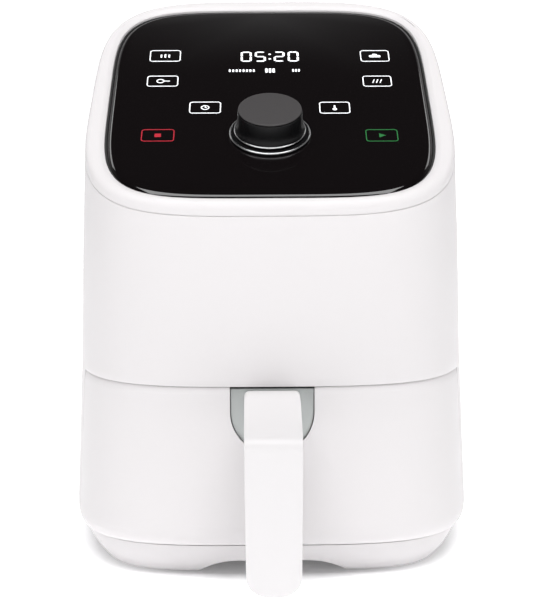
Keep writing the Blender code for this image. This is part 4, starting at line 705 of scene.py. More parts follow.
handle_outer = handle_half("handle_outer", (0.0, 0.0, corner_radius),
                           (shell_depth, 0.5 * grip_depth, 0.5 * corner_radius), 0.7 * MM)
handle_inner = handle_half("handle_inner", (shell_depth + 0.3 * MM, 0.5 * grip_depth + 0.3 * MM,
                                            0.5 * corner_radius - 0.3 * MM),
                           (neck_depth, grip_depth, 2.0 * MM), 0.7 * MM)
hand_over(handle_outer, "drawer", white_handle, ["handle_shell"])
hand_over(handle_inner, "drawer", white_handle, ["handle_back"])

# %% [markdown]
# ## The base
#
# The base narrows towards the table in a slightly bulging line. Underneath it is hollow between
# four corner blocks, which carry the rubber pads, and it is arched in front and behind.

# %% Base
foot_half_width, foot_half_depth = 88.8 * MM, 87.4 * MM
foot_squareness = 4.95
base_height = base_top - base_low.z


def base_row(z, inset=0.0):
    share = (base_top - z) / base_height
    bulge = 1.2 * MM * math.sin(math.pi * share)
    seam = EDGE_INSET + 0.3 * MM

    def blend(top, foot):
        return top - seam + share * (foot - top + seam) + bulge - inset

    half_x = blend(half_width_at(base_top), foot_half_width)
    front = blend(front_depth_at(base_top), foot_half_depth)
    back = blend(back_depth_at(base_top), foot_half_depth)
    squareness = SQUARENESS_BASE + share * (foot_squareness - SQUARENESS_BASE)

    def place(column):
        x, y = soft_square(column_angle(column), half_x, 0.5 * (front + back), squareness)
        return Vector((x, middle_y + 0.5 * (back - front) + y, z))
    return place


foot_round = 1.0 * MM
base_rows = [base_row(base_low.z + foot_round * along, foot_round * inwards)
             for along, inwards in rounding(4)]
base_rows += [base_row(base_low.z + foot_round + (base_height - foot_round) * i / 14)
              for i in range(1, 15)]
base_shell = stack_of_rings("base_shell", COLUMNS, base_rows, "capped")
foot_pads = [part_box("rubber_foot_%d" % i) for i in (1, 2, 3, 4)]
screw_boxes = [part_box("base_screw_%d" % i) for i in (1, 2, 3, 4)]
block_x, block_y = foot_half_width - 48.0 * MM, foot_half_depth - 48.0 * MM
deck_z = base_top - 2.5 * MM
skirt = 7.5 * MM
hollow_long = block("hollow_long", (-block_x, middle_y - foot_half_depth + skirt, BELOW),
                    (block_x, middle_y + foot_half_depth - skirt, deck_z))
hollow_wide = block("hollow_wide", (skirt - foot_half_width, middle_y - block_y, BELOW),
                    (foot_half_width - skirt, middle_y + block_y, deck_z))
cut(base_shell, hollow_long, hollow_wide)

ARCH_HALF, ARCH_FLAT, ARCH_RISE = 38.5 * MM, 17.5 * MM, 7.2 * MM
arch_side = [(ARCH_HALF + 1.0 * MM, BELOW), (ARCH_HALF, base_low.z)]
arch_side += [(ARCH_HALF + (ARCH_FLAT - ARCH_HALF) * t,
               base_low.z + ARCH_RISE * (1.0 - (1.0 - t) ** 2.2))
              for t in (i / 14 for i in range(1, 15))]
arch_outline = arch_side + [(-x, z) for x, z in reversed(arch_side)]
cut(base_shell, slab("base_arch", arch_outline, -FAR, FAR))
for low, high in foot_pads:
    spot = 0.5 * (low + high)
    cut(base_shell, rod("pad_pocket", (spot.x, spot.y, BELOW), (spot.x, spot.y, high.z + 0.3 * MM),
                        0.5 * (high.x - low.x) + 0.3 * MM, 48))
for low, high in screw_boxes:
    spot = 0.5 * (low + high)
    pocket = rod("screw_pocket", (spot.x, spot.y, BELOW), (spot.x, spot.y, 5.8 * MM), 3.6 * MM)
    hole = rod("screw_hole", (spot.x, spot.y, 4 * MM), (spot.x, spot.y, base_top - BELOW), 2.1 * MM)
    cut(base_shell, pocket, hole)
soften(base_shell, 0.5 * MM, 40.0, 2)
hand_over(base_shell, "root", white_satin, ["base"])

for i, (low, high) in enumerate(foot_pads):
    spot = 0.5 * (low + high)
    radius, top = 0.5 * (high.x - low.x), high.z
    profile = [(radius - 2.6 * MM, 0.0), (radius - 1.0 * MM, 0.0), (radius - 0.5 * MM, 0.5 * MM),
               (radius, 1.6 * MM), (radius, top - 0.3 * MM), (radius - 0.3 * MM, top)]
    pad = turned("foot_pad_%d" % (i + 1), profile, Vector((spot.x, spot.y, 0.0)), sides=48)
    soften(pad, 0.15 * MM, 40.0, 2)
    hand_over(pad, "root", foot_rubber, ["rubber_foot_%d" % (i + 1)])

# %% [markdown]
# ## The panel's frame, seal and glass
#
# A white frame is set into the top of the shell. It rolls over from a fine parting line to a
# narrow lip, then falls inwards in a short slope to the black glass, which sits in a thin seal.
# The glass has a polished edge, and that edge is what catches the light.

# %% Frame, seal and glass
glass_low, glass_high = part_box("glass_panel")
opening_half = glass_high.x + 1.4 * MM
opening_length = 0.5 * (glass_high - glass_low).dot(Vector((0, panel_up.y, panel_up.z))) + 1.2 * MM
opening_squareness = 4.7
print("panel opening", 2 * opening_half, "by", 2 * opening_length)


def opening_row(offset, height):
    """A row round the panel's opening, grown by offset and raised by height."""
    def place(column):
        x, s = soft_square(column_angle(column), opening_half + offset, opening_length + offset,
                           opening_squareness)
        return on_panel(x, s, height)
    return place


ROUND = 3.2 * MM
frame_rows = [slope_row(lip_z - ROUND * along, ROUND * inwards) for along, inwards in rounding(9)]
frame_rows += [slope_row(crease_z + crease_round * (1.0 - math.sin(turn)),
                         crease_round * (1.0 - math.cos(turn)))
               for turn in (0.0, 0.4, 0.8, 1.2, 1.5708)]
frame_rows += [slope_row(crease_z, 2.8 * MM),
               slope_row(panel_z - 6.0 * MM / panel_normal.z, 3.2 * MM),
               opening_row(-4.0 * MM, -6.0 * MM), opening_row(-4.0 * MM, -4.0 * MM),
               opening_row(0.0, -4.0 * MM), opening_row(0.0, -0.1 * MM), opening_row(0.15 * MM, 0.1 * MM),
               opening_row(2.3 * MM, 1.2 * MM), opening_row(2.7 * MM, 1.36 * MM),
               opening_row(3.2 * MM, 1.4 * MM)]
top_frame = stack_of_rings("top_frame", COLUMNS, frame_rows, "joined")
hand_over(top_frame, "root", white_satin, ["panel_bezel"], 50.0)

seal_rows = [opening_row(-0.3 * MM, -3.7 * MM), opening_row(-0.3 * MM, -1.15 * MM),
             opening_row(-0.45 * MM, -1.0 * MM), opening_row(-0.95 * MM, -1.0 * MM),
             opening_row(-1.1 * MM, -1.15 * MM), opening_row(-1.1 * MM, -3.3 * MM),
             opening_row(-3.5 * MM, -3.3 * MM), opening_row(-3.5 * MM, -3.7 * MM)]
glass_seal = stack_of_rings("glass_seal", COLUMNS, seal_rows, "joined")
hand_over(glass_seal, "root", seal_black, ["glass_gasket"])

EDGE = -1.4 * MM
glass_rows = [opening_row(EDGE, -3.0 * MM), opening_row(EDGE, -1.2 * MM),
              opening_row(EDGE - 0.85 * MM, -0.50 * MM), opening_row(EDGE - 1.80 * MM, -0.09 * MM),
              opening_row(EDGE - 2.3 * MM, 0.0)]
touch_glass = stack_of_rings("touch_glass", COLUMNS, glass_rows, "capped")
cut(touch_glass, rod("bushing_hole", on_panel(0, dial_s, -10 * MM), on_panel(0, dial_s, 10 * MM),
                     4.8 * MM, 48))
hand_over(touch_glass, "root", touch_glass_black, ["glass_panel"], 20.0)

# %% [markdown]
# ## Legends on the glass
#
# The touch keys are rounded frames with a plain sign each, and the clock is made of seven-bar
# digits. They are thin prints, so each is a shape a few hundredths of a millimetre high. One
# frame and one bar are defined, and then placed wherever they are needed.

# %% Printed shapes
PRINT = 0.05 * MM


def patch(name, outline, base=0.02 * MM):
    """A flat printed shape from its outline (x, s) on the glass."""
    def row(height):
        return lambda column: on_panel(outline[column][0], outline[column][1], height)
    return stack_of_rings(name, len(outline), [row(base), row(base + PRINT)], "capped")


def ribbon(name, outer, inner, base=0.02 * MM):
    """A printed line that runs round: two outlines with the same number of points."""
    def row(outline, height):
        return lambda column: on_panel(outline[column][0], outline[column][1], height)
    top = base + PRINT
    rows = [row(outer, base), row(outer, top), row(inner, top), row(inner, base)]
    return stack_of_rings(name, len(outer), rows, "joined")


def rounded_box(x, s, width, height, radius):
    half_x, half_s = 0.5 * width - radius, 0.5 * height - radius
    points = []
    for sx, ss, start in ((1, 1, 0.0), (-1, 1, 90.0), (-1, -1, 180.0), (1, -1, 270.0)):
        points += arc((x + sx * half_x, s + ss * half_s), radius, start, start + 90.0, 5)
    return points


def disc_outline(x, s, radius, sides=24):
    turns = [2 * math.pi * i / sides for i in range(sides)]
    return [(x + radius * math.cos(a), s + radius * math.sin(a)) for a in turns]


def bar_outline(start, end, width):
    """A straight bar with square ends between two points (x, s)."""
    run = (Vector(end) - Vector(start)).normalized()
    side = Vector((-run.y, run.x)) * 0.5 * width
    a, b = Vector(start), Vector(end)
    return [tuple(a + side), tuple(a - side), tuple(b - side), tuple(b + side)]


# %% Touch keys
LINE = 0.55 * MM
# each key's middle (x, s), width and height, in millimetres
keys = {
    "left_top": (-57.9, 45.2, 17.4, 12.9), "left_upper": (-58.3, 16.9, 17.2, 11.7),
    "left_inner": (-34.4, -11.6, 17.0, 12.1), "left_stop": (-58.6, -39.6, 17.4, 12.0),
    "right_top": (59.8, 44.0, 16.3, 12.9), "right_upper": (59.5, 15.7, 15.9, 11.7),
    "right_inner": (35.0, -12.4, 16.5, 12.1), "right_start": (58.5, -40.8, 16.9, 12.0)}


def key_frame(name, x, s, width, height):
    outer = rounded_box(x, s, width, height, 2.0 * MM)
    inner = rounded_box(x, s, width - 2 * LINE, height - 2.4 * LINE, 1.3 * MM)
    return ribbon(name, outer, inner)


def sign(name, x, s):
    """A plain sign for each key, about 8 mm wide."""
    def bar(x1, s1, x2, s2, width):
        ends = (x + x1 * MM, s + s1 * MM), (x + x2 * MM, s + s2 * MM)
        return patch("p", bar_outline(*ends, width * MM))

    def disc(x1, s1, radius):
        return patch("p", disc_outline(x + x1 * MM, s + s1 * MM, radius * MM))

    def hoop(x1, outer, inner):
        return ribbon("p", disc_outline(x + x1 * MM, s, outer * MM),
                      disc_outline(x + x1 * MM, s, inner * MM))

    if name == "left_top":      # three chips
        return [bar(d, -1.9, d, 1.4 + 0.5 * (d == 0), 0.9) for d in (-2.2, 0, 2.2)]
    if name == "left_upper":    # a pan with its handle
        return [hoop(-1.2, 2.2, 1.5), bar(1.0, 0.0, 4.0, 0.0, 0.8)]
    if name == "left_inner":    # a clock
        return [hoop(0.0, 2.3, 1.7), bar(0.0, 0.0, 0.0, 1.3, 0.5), bar(0.0, 0.0, 1.0, 0.0, 0.5)]
    if name == "right_top":     # a loaf
        crust = rounded_box(x, s - 0.4 * MM, 6.4 * MM, 2.4 * MM, 0.8 * MM)
        return [patch("p", crust), disc(0.0, 0.9, 1.5)]
    if name == "right_upper":   # rising heat
        return [bar(d - 0.5, -1.8, d + 0.5, 1.8, 0.6) for d in (-2.0, 0.0, 2.0)]
    if name == "right_inner":   # a thermometer
        return [bar(0.0, -0.8, 0.0, 2.4, 0.9), disc(0.0, -1.5, 1.2)]
    if name == "left_stop":     # a square
        return [patch("p", rounded_box(x, s, 3.4 * MM, 3.4 * MM, 0.3 * MM))]
    arrow = [(x - 1.4 * MM, s - 2.0 * MM), (x + 2.2 * MM, s), (x - 1.4 * MM, s + 2.0 * MM)]
    return [patch("p", arrow)]


key_colours = {"left_stop": legend_red, "right_start": legend_green}
for name, (x, s, width, height) in keys.items():
    x, s, width, height = x * MM, s * MM, width * MM, height * MM
    legend = join("key_" + name, [key_frame("f", x, s, width, height)] + sign(name, x, s))
    hand_over(legend, "root", key_colours.get(name, legend_white))

# %% [markdown]
# ## The clock and the status marks
#
# A seven-bar digit could be a font's letter, but no font has these pointed bars. One bar is
# drawn, laid across or stood up, and each digit lists the bars that are lit. The small marks
# under the clock are rounded bars in three groups.

# %% Clock digits
DIGIT_W, DIGIT_H, BAR = 6.2 * MM, 11.4 * MM, 1.2 * MM
SEGMENTS = {"0": "abcdef", "2": "abdeg", "5": "acdfg"}


def clock_bar(x, s, across):
    """One bar of a digit, pointed at both ends, lying across or standing up."""
    long = 0.5 * (DIGIT_W - 1.3 * BAR) if across else 0.25 * DIGIT_H - 0.35 * BAR
    tip = 0.5 * BAR
    shape = [(long, 0.0), (long - tip, tip), (tip - long, tip),
             (-long, 0.0), (tip - long, -tip), (long - tip, -tip)]
    if not across:
        shape = [(-v, u) for u, v in shape]
    return patch("p", [(x + u, s + v) for u, v in shape])


def clock_digit(digit, x, s):
    side, top = 0.5 * DIGIT_W - 0.5 * BAR, 0.5 * DIGIT_H - 0.5 * BAR
    places = {"a": (0, top, True), "g": (0, 0, True), "d": (0, -top, True),
              "b": (side, 0.5 * top, False), "c": (side, -0.5 * top, False),
              "f": (-side, 0.5 * top, False), "e": (-side, -0.5 * top, False)}
    return [clock_bar(x + places[k][0], s + places[k][1], places[k][2]) for k in SEGMENTS[digit]]


clock_x, clock_s = 0.8 * MM, 43.8 * MM
bars = []
for digit, offset in zip("0520", (-13.2, -5.3, 5.3, 13.2)):
    bars += clock_digit(digit, clock_x + offset * MM, clock_s)
for side in (-1, 1):
    bars.append(patch("p", disc_outline(clock_x, clock_s + side * 2.6 * MM, 0.75 * MM)))
hand_over(join("clock_digits", bars), "root", legend_white)

row_s = 28.0 * MM
# each group's count, first place, spacing, and a mark's width, height and corner, in millimetres
MARK_GROUPS = ((8, -21.5, 1.9, 1.1, 2.6, 0.3), (3, -1.2, 2.0, 1.4, 4.6, 0.4),
               (3, 13.6, 1.6, 1.0, 2.8, 0.3))
marks = []
for count, first, spacing, width, height, corner in MARK_GROUPS:
    for i in range(count):
        outline = rounded_box((first + spacing * i) * MM, row_s, width * MM, height * MM, corner * MM)
        marks.append(patch("p", outline))
hand_over(join("status_marks", marks), "root", legend_white)

# %% [markdown]
# ## The dial
#
# A fixed glossy ring lies on the glass, and the dial turns over it. Both are turned shapes, so each
# is a list of (radius, height) points that runs round the dial's axis. Two fine bright metal wires,
# one on the ring and one on the dial's skirt, are painted highlights: they stand in for the light
# that the black edges there catch, and show as bright arcs.

# %% Dial and ring
DIAL, RING_OUT, RING_HEIGHT, DIAL_TOP = 16.8 * MM, 21.2 * MM, 1.8 * MM, 15.7 * MM
ring_profile = [(12.8 * MM, 0.3 * MM), (RING_OUT, 0.3 * MM), (RING_OUT, 1.0 * MM),
                (RING_OUT - 0.15 * MM, 1.35 * MM), (RING_OUT - 0.45 * MM, 1.65 * MM),
                (RING_OUT - 0.9 * MM, RING_HEIGHT), (12.8 * MM, RING_HEIGHT)]
dial_ring = turned("dial_ring", ring_profile, dial_point, panel_normal, 128, "joined")
hand_over(dial_ring, "root", black_gloss, ["knob_ring"], 50.0)


def painted_highlight_wire(name, radius, height, thickness, body):
    """A fine bright metal ring round the dial's axis, a painted highlight on a black edge."""
    profile = [(radius + thickness * math.cos(a), height + thickness * math.sin(a))
               for a in (2 * math.pi * i / 12 for i in range(12))]
    wire = turned(name, profile, dial_point, panel_normal, 160, "joined")
    hand_over(wire, body, highlight_metal, (), 60.0)


# painted highlight along the black ring's outer edge
painted_highlight_wire("dial_ring_highlight", RING_OUT - 0.45 * MM, 1.25 * MM, 0.55 * MM, "root")

flare = DIAL + 1.8 * MM
foot = RING_HEIGHT + 0.8 * MM
shelf = DIAL_TOP - 1.0 * MM
dial_profile = [(0.0, 12.5 * MM), (3.3 * MM, 12.5 * MM), (3.3 * MM, 5.2 * MM), (9.0 * MM, 5.2 * MM),
                (9.0 * MM, foot), (flare - 0.3 * MM, foot), (flare, foot + 0.25 * MM),
                (flare, foot + 0.75 * MM), (flare - 0.25 * MM, foot + 1.2 * MM),
                (flare - 0.7 * MM, foot + 2.0 * MM), (DIAL + 0.6 * MM, foot + 3.4 * MM),
                (DIAL + 0.3 * MM, 0.55 * shelf), (DIAL, shelf - 0.6 * MM),
                (DIAL - 0.15 * MM, shelf - 0.15 * MM), (DIAL - 0.5 * MM, shelf), (0.0, shelf)]
dial_body = turned("dial_body", dial_profile, dial_point, panel_normal, 128)
hand_over(dial_body, "dial", black_gloss, ["knob"], 40.0)
# painted highlight along the dial's flared skirt
painted_highlight_wire("dial_skirt_highlight", flare - 0.25 * MM, foot + 0.55 * MM, 0.45 * MM, "dial")
cap_edge = DIAL - 0.3 * MM
cap_profile = [(0.0, shelf + 0.3 * MM), (cap_edge - 0.1 * MM, shelf + 0.3 * MM),
               (cap_edge, shelf + 0.45 * MM), (cap_edge - 0.05 * MM, DIAL_TOP - 0.25 * MM),
               (cap_edge - 0.3 * MM, DIAL_TOP - 0.02 * MM), (cap_edge - 0.7 * MM, DIAL_TOP),
               (0.0, DIAL_TOP)]
dial_cap = turned("dial_cap", cap_profile, dial_point, panel_normal, 128)
hand_over(dial_cap, "dial", dial_top, ["knob_cap"], 40.0)

# %% [markdown]
# ## Pan and crisper tray
#
# The pan is pressed from one sheet, so its walls lean out a little and its corners are round
# everywhere. Its rows run up the outside, over the flange and down the inside, which gives the
# flange its true edge. Solidify on a single skin would make that edge flat. The tray inside is a
# flat plate with an upturned rim, punched with round holes.

# %% Pan
PAN_COLUMNS, TRAY_COLUMNS = 192, 128
pan_low, pan_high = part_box("pan")
PAN_SQUARENESS = 3.6
flange = 2.8 * MM
pan_middle = 0.5 * (pan_low.y + pan_high.y)
pan_half_x = pan_high.x - flange
pan_half_y = 0.5 * (pan_high.y - pan_low.y) - flange


def pan_row(z, offset=0.0):
    lean = 3.0 * MM * (pan_high.z - z) / (pan_high.z - pan_low.z)

    def place(column):
        x, y = soft_square(column_angle(column, PAN_COLUMNS), pan_half_x + offset - lean,
                           pan_half_y + offset - lean, PAN_SQUARENESS)
        return Vector((x, pan_middle + y, z))
    return place


sheet = 1.2 * MM
floor_z = pan_low.z + sheet
pan_rows = [pan_row(pan_low.z + 6.0 * MM * along, -6.0 * MM * inwards)
            for along, inwards in rounding(6)]
pan_rows += [pan_row(z) for z in (pan_low.z + 20 * MM, pan_low.z + 45 * MM)]
under = pan_high.z - 1.5 * MM
pan_rows += [pan_row(under - 0.8 * MM), pan_row(under - 0.2 * MM, 0.25 * MM), pan_row(under, 0.8 * MM),
             pan_row(under, flange - 0.6 * MM), pan_row(under + 0.35 * MM, flange - 0.1 * MM),
             pan_row(pan_high.z - 0.4 * MM, flange), pan_row(pan_high.z, flange - 0.5 * MM),
             pan_row(pan_high.z, 0.6 * MM), pan_row(pan_high.z - 0.35 * MM, -0.5 * MM),
             pan_row(pan_high.z - 1.2 * MM, -sheet)]
pan_rows += [pan_row(z, -sheet) for z in (pan_low.z + 45 * MM, pan_low.z + 20 * MM)]
pan_rows += [pan_row(floor_z + 5.0 * MM * along, -sheet - 5.0 * MM * inwards)
             for along, inwards in reversed(rounding(6))]
pan_body = stack_of_rings("pan_body", PAN_COLUMNS, pan_rows, "capped")
for i in (1, 2):
    low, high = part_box("pan_screw_%d" % i)
    spot = 0.5 * (low + high)
    cut(pan_body, rod("screw_hole", (spot.x, low.y - 5 * MM, spot.z), (spot.x, high.y, spot.z),
                      2.1 * MM))
hand_over(pan_body, "drawer", coating, ["pan"], 40.0)

# %% Crisper tray
tray_low, tray_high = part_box("crisper_tray")
tray_middle = 0.5 * (tray_low.y + tray_high.y)
tray_x, tray_y = tray_high.x, 0.5 * (tray_high.y - tray_low.y)
tray_sheet = 1.2 * MM


def tray_row(z, inset):
    def place(column):
        x, y = soft_square(column_angle(column, TRAY_COLUMNS), tray_x - inset, tray_y - inset,
                           PAN_SQUARENESS)
        return Vector((x, tray_middle + y, z))
    return place


tray_rows = [tray_row(tray_low.z + 1.6 * MM * along, 1.6 * MM * inwards) for along, inwards in rounding(4)]
tray_rows += [tray_row(tray_high.z - 0.2 * MM, 0.0), tray_row(tray_high.z, 0.3 * MM),
              tray_row(tray_high.z, 0.9 * MM), tray_row(tray_high.z - 0.2 * MM, tray_sheet),
              tray_row(tray_low.z + 2.0 * MM, tray_sheet), tray_row(tray_low.z + tray_sheet, 2.0 * MM)]
crisper = stack_of_rings("crisper_plate", TRAY_COLUMNS, tray_rows, "capped")
hole_spacing, hole_radius, over = 24.0 * MM, 4.2 * MM, 5 * MM
punches = []
for i in range(-2, 3):
    for j in range(-2, 3):
        x, y = i * hole_spacing, tray_middle + j * hole_spacing
        punches.append(rod("punch", (x, y, tray_low.z - over), (x, y, tray_high.z + over), hole_radius, 24))
cut(crisper, join("punches", punches))
soften(crisper, 0.25 * MM, 50.0, 2)
hand_over(crisper, "tray", coating, ["crisper_tray"], 40.0)

# %% [markdown]
# ## Inside the chamber
#
# With the drawer out, the heating element, its wire guard and the fan can be seen above. The
# element is one tube that goes round twice, with a hairpin bend. A turned shape can't follow such a
# path, so it is a curve with a round section, made into a mesh. The guard is wire rings and bars.

# %% Element and guard
chamber_axis = Vector(next(j for j in frame["joints"] if j["name"] == "fan_spin")["pos_m"])
heater_low, heater_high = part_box("heater")
tube = 3.2 * MM
outer_ring = 0.5 * (heater_high.y - heater_low.y) - tube
inner_ring = outer_ring - 9.0 * MM
heater_z = heater_low.z + tube
end_angle = 8.0
turn_angle = 360.0 - 1.6 * end_angle
turn = math.radians(turn_angle)
hairpin_middle = 0.5 * (inner_ring + outer_ring)
hairpin = arc((hairpin_middle * math.cos(turn), hairpin_middle * math.sin(turn)), 4.5 * MM,
              turn_angle + 180.0, turn_angle, 10)[1:-1]
flat_path = arc((0, 0), inner_ring, end_angle, turn_angle, 96) + hairpin
flat_path += arc((0, 0), outer_ring, turn_angle, end_angle, 96)


def riser(radius):
    a = math.radians(end_angle)
    x, y = radius * math.cos(a), radius * math.sin(a)
    return [(x, y, heater_high.z - heater_z)] + [(x, y, 6.0 * MM - i * 1.0 * MM) for i in range(4)]


element_path = riser(inner_ring) + [(x, y, 0.0) for x, y in flat_path] + list(reversed(riser(outer_ring)))
element_curve = bpy.data.curves.new("heating_element", "CURVE")
element_curve.dimensions = "3D"
element_curve.bevel_depth = tube
element_curve.bevel_resolution = 4
element_curve.use_fill_caps = True
element_line = element_curve.splines.new("POLY")
element_line.points.add(len(element_path) - 1)
for point, (x, y, z) in zip(element_line.points, element_path):
    point.co = (x + chamber_axis.x, y + chamber_axis.y, z + heater_z, 1.0)
element = bpy.data.objects.new("heating_element", element_curve)
bpy.context.scene.collection.objects.link(element)
activate(element)
bpy.ops.object.convert(target="MESH")
element = bpy.context.object
bpy.ops.object.mode_set(mode="EDIT")
bpy.ops.mesh.select_all(action="SELECT")
bpy.ops.mesh.remove_doubles(threshold=1e-6)
bpy.ops.object.mode_set(mode="OBJECT")
hand_over(element, "root", element_steel, ["heater"], 60.0)

guard_low, guard_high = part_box("heater_guard")
guard_z = 0.5 * (guard_low.z + guard_high.z)
guard_radius = guard_high.x
wire = 0.5 * (guard_high.z - guard_low.z)
guard_centre = Vector((chamber_axis.x, chamber_axis.y, guard_z))


def wire_ring(radius, thickness):
    profile = [(radius + thickness * math.cos(a), thickness * math.sin(a))
               for a in (2 * math.pi * i / 10 for i in range(10))]
    return turned("ring", profile, guard_centre, sides=96, ends="joined")


guard_parts = [wire_ring(guard_radius - wire, wire), wire_ring(0.5 * guard_radius, wire),
               wire_ring(0.75 * guard_radius, 0.8 * wire)]
for direction in (Vector((1, 0, 0)), Vector((0, 1, 0))):
    guard_parts.append(rod("bar", guard_centre - (guard_radius - wire) * direction,
                           guard_centre + (guard_radius - wire) * direction, 0.9 * wire, 12))
hand_over(join("guard_wires", guard_parts), "root", drawn_steel, ["heater_guard"], 60.0)

# %% [markdown]
# ## Back of the body
#
# The vent follows the curve of the back wall, so it is made as a band of that wall, trimmed to the
# vent's outline, with slots cut through it. A flat grille would stand out of the curve at its
# ends. Near the base a short rubber gland fills the hole where a mains lead would leave.

# %% Vent and gland
band_low, band_high, set_back = vent_low.z - 5 * MM, vent_high.z + 5 * MM, 0.3 * MM
vent_rows = [wall_row(band_low, set_back), wall_row(band_high, set_back),
             wall_row(band_high, wall_thickness), wall_row(band_low, wall_thickness)]
rear_vent = stack_of_rings("rear_vent", COLUMNS, vent_rows, "joined")
cut(rear_vent, block("vent_outline", (vent_low.x, middle_y, vent_low.z), (vent_high.x, FAR, vent_high.z)),
    operation="INTERSECT")
SLOTS, slot_length = 6, 2 * 38.7 * MM
slot_pitch = (vent_high.z - vent_low.z + 2 * set_back) / (SLOTS + 1)
slots = []
for i in range(SLOTS):
    z = vent_low.z - set_back + slot_pitch * (i + 1)
    slot_shape = rounded_box(0.0, z, slot_length, 0.56 * slot_pitch, 0.27 * slot_pitch)
    slots.append(slab("slot", slot_shape, middle_y, FAR))
cut(rear_vent, join("slots", slots))
soften(rear_vent, 0.25 * MM, 40.0, 2)
hand_over(rear_vent, "root", vent_grey, ["rear_grille"])

back = Vector((0.0, 1.0, 0.0))
gland_base = Vector((gland_x, gland_low.y, gland_z))
reach = gland_high.y - gland_low.y
gland_profile = [(0.0, 0.0), (5.6 * MM, 0.0), (6.1 * MM, 0.5 * MM), (6.1 * MM, reach - 2.6 * MM),
                 (8.9 * MM, reach - 2.4 * MM), (9.0 * MM, reach - 1.9 * MM),
                 (8.7 * MM, reach - 0.9 * MM), (7.6 * MM, reach - 0.15 * MM), (6.6 * MM, reach),
                 (4.2 * MM, reach), (3.7 * MM, reach - 0.4 * MM), (3.6 * MM, reach - 3.0 * MM),
                 (0.0, reach - 3.0 * MM)]
gland = turned("lead_gland", gland_profile, gland_base, back, 64)
hand_over(gland, "root", foot_rubber, ["cord_gland"], 40.0)

# %% [markdown]
# ## The other solids
#
# What is left is either hidden or simple. Pieces that show when the drawer is out are copied,
# merged and smoothed, because a loaded solid is made of loose flat triangles. The rest keep
# their solids. All of them get a finish.

# %% Smooth copies of round solids
def smooth_copy(node, name, body, material):
    solid = frame["nodes"][node]
    copy = bpy.data.objects.new(name, solid.data.copy())
    bpy.context.scene.collection.objects.link(copy)
    activate(copy)
    bpy.ops.object.mode_set(mode="EDIT")
    bpy.ops.mesh.select_all(action="SELECT")
    bpy.ops.mesh.remove_doubles(threshold=1e-6)
    bpy.ops.mesh.tris_convert_to_quads()
    bpy.ops.object.mode_set(mode="OBJECT")
    hand_over(copy, body, material, [node], 32.0)


smooth_copy("chamber_liner", "chamber_walls", "root", rolled_steel)
smooth_copy("reflector", "heat_reflector", "root", rolled_steel)
smooth_copy("convection_fan", "air_fan", "rotor", rolled_steel)
smooth_copy("drawer_inner_panel", "drawer_lining", "drawer", black_moulded)
for i in (1, 2, 3, 4):
    smooth_copy("tray_bumper_%d" % i, "tray_foot_%d" % i, "tray", silicone)
    smooth_copy("base_screw_%d" % i, "base_fixing_%d" % i, "root", drawn_steel)
for i in (1, 2):
    smooth_copy("handle_screw_%d" % i, "handle_fixing_%d" % i, "drawer", drawn_steel)
    smooth_copy("pan_screw_%d" % i, "pan_fixing_%d" % i, "drawer", drawn_steel)

# %% [markdown]
# ## Finishes for the solids that stay
#
# The boards, the motor and the brackets are closed in and are plain shapes in reality too. Finer
# copies would add faces that nobody sees, so these solids stay and only change their finish.

# %% Finishes for the solids that stay
kept = {
    "insulation_pad": wool, "mounting_deck": black_moulded, "exhaust_duct": rolled_steel,
    "thermal_cutout": drawn_steel, "temperature_probe": drawn_steel, "motor": drawn_steel,
    "motor_bracket": rolled_steel, "motor_shaft": drawn_steel, "fan_nut": drawn_steel,
    "cooling_fan": black_moulded, "drawer_switch": black_moulded, "switch_plunger": vent_grey,
    "control_board": board_green, "power_board": board_green, "display_module": black_moulded,
    "light_guide": frosted, "encoder_body": drawn_steel, "encoder_shaft": drawn_steel,
    "inner_lead": black_moulded, "left_guide": rolled_steel, "right_guide": rolled_steel,
    "handle_bracket": rolled_steel}
for node, material in kept.items():
    solid = frame["nodes"][node]
    solid.data.materials.clear()
    solid.data.materials.append(material)
bare = [piece.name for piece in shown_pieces()
        if not piece.data.materials or piece.data.materials[0] is None]
print("pieces without a finish:", bare)

# %% [markdown]
# ## Studio
#
# A white object on a white ground needs a floor that is bright far away and a little darker close
# by, so that the contact shadow can still be seen. The floor is one large plane. Its finish gives
# off light, and the light fades in with the distance from the appliance.

# %% Floor
floor_middle = (0.0, middle_y, 0.0)
deselect()
bpy.ops.mesh.primitive_plane_add(size=80.0, location=(0.0, 0.0, 0.0))
floor = bpy.context.object
floor.name = "studio_floor"
floor_finish, floor_shader = finish_nodes("studio_floor", (0.93, 0.93, 0.94), 0.75)
floor_shader.inputs["Specular IOR Level"].default_value = 0.2
grain(floor_finish, floor_shader, noise(floor_finish, 300.0, 2.0), 0.02, 0.05 * MM)
tree = floor_finish.node_tree
floor_place = tree.nodes.new("ShaderNodeTexCoord")
floor_distance = tree.nodes.new("ShaderNodeVectorMath")
floor_distance.operation = "DISTANCE"
floor_distance.inputs[1].default_value = floor_middle
floor_glow = tree.nodes.new("ShaderNodeMapRange")
floor_glow.interpolation_type = "SMOOTHSTEP"
floor_glow.inputs["From Min"].default_value = 0.083
floor_glow.inputs["From Max"].default_value = 0.16
floor_glow.inputs["To Min"].default_value = 0.08
floor_glow.inputs["To Max"].default_value = 0.95
tree.links.new(floor_place.outputs["Object"], floor_distance.inputs[0])
tree.links.new(floor_distance.outputs["Value"], floor_glow.inputs["Value"])
tree.links.new(floor_glow.outputs["Result"], floor_shader.inputs["Emission Strength"])
floor_shader.inputs["Emission Color"].default_value = (1.0, 1.0, 1.0, 1.0)
floor.data.materials.append(floor_finish)

# %% [markdown]
# ## Surround and lights
#
# The surround is a bright band round the horizon. It is dimmer at the sides, which draws the white
# body's edges, and dark overhead, which keeps the sloped glass black. An image of a studio would
# do the same, but three ranges of the view direction are easier to change. One large soft light
# hangs overhead, two small ones behind it draw the rims, and a weak one lies low in front.

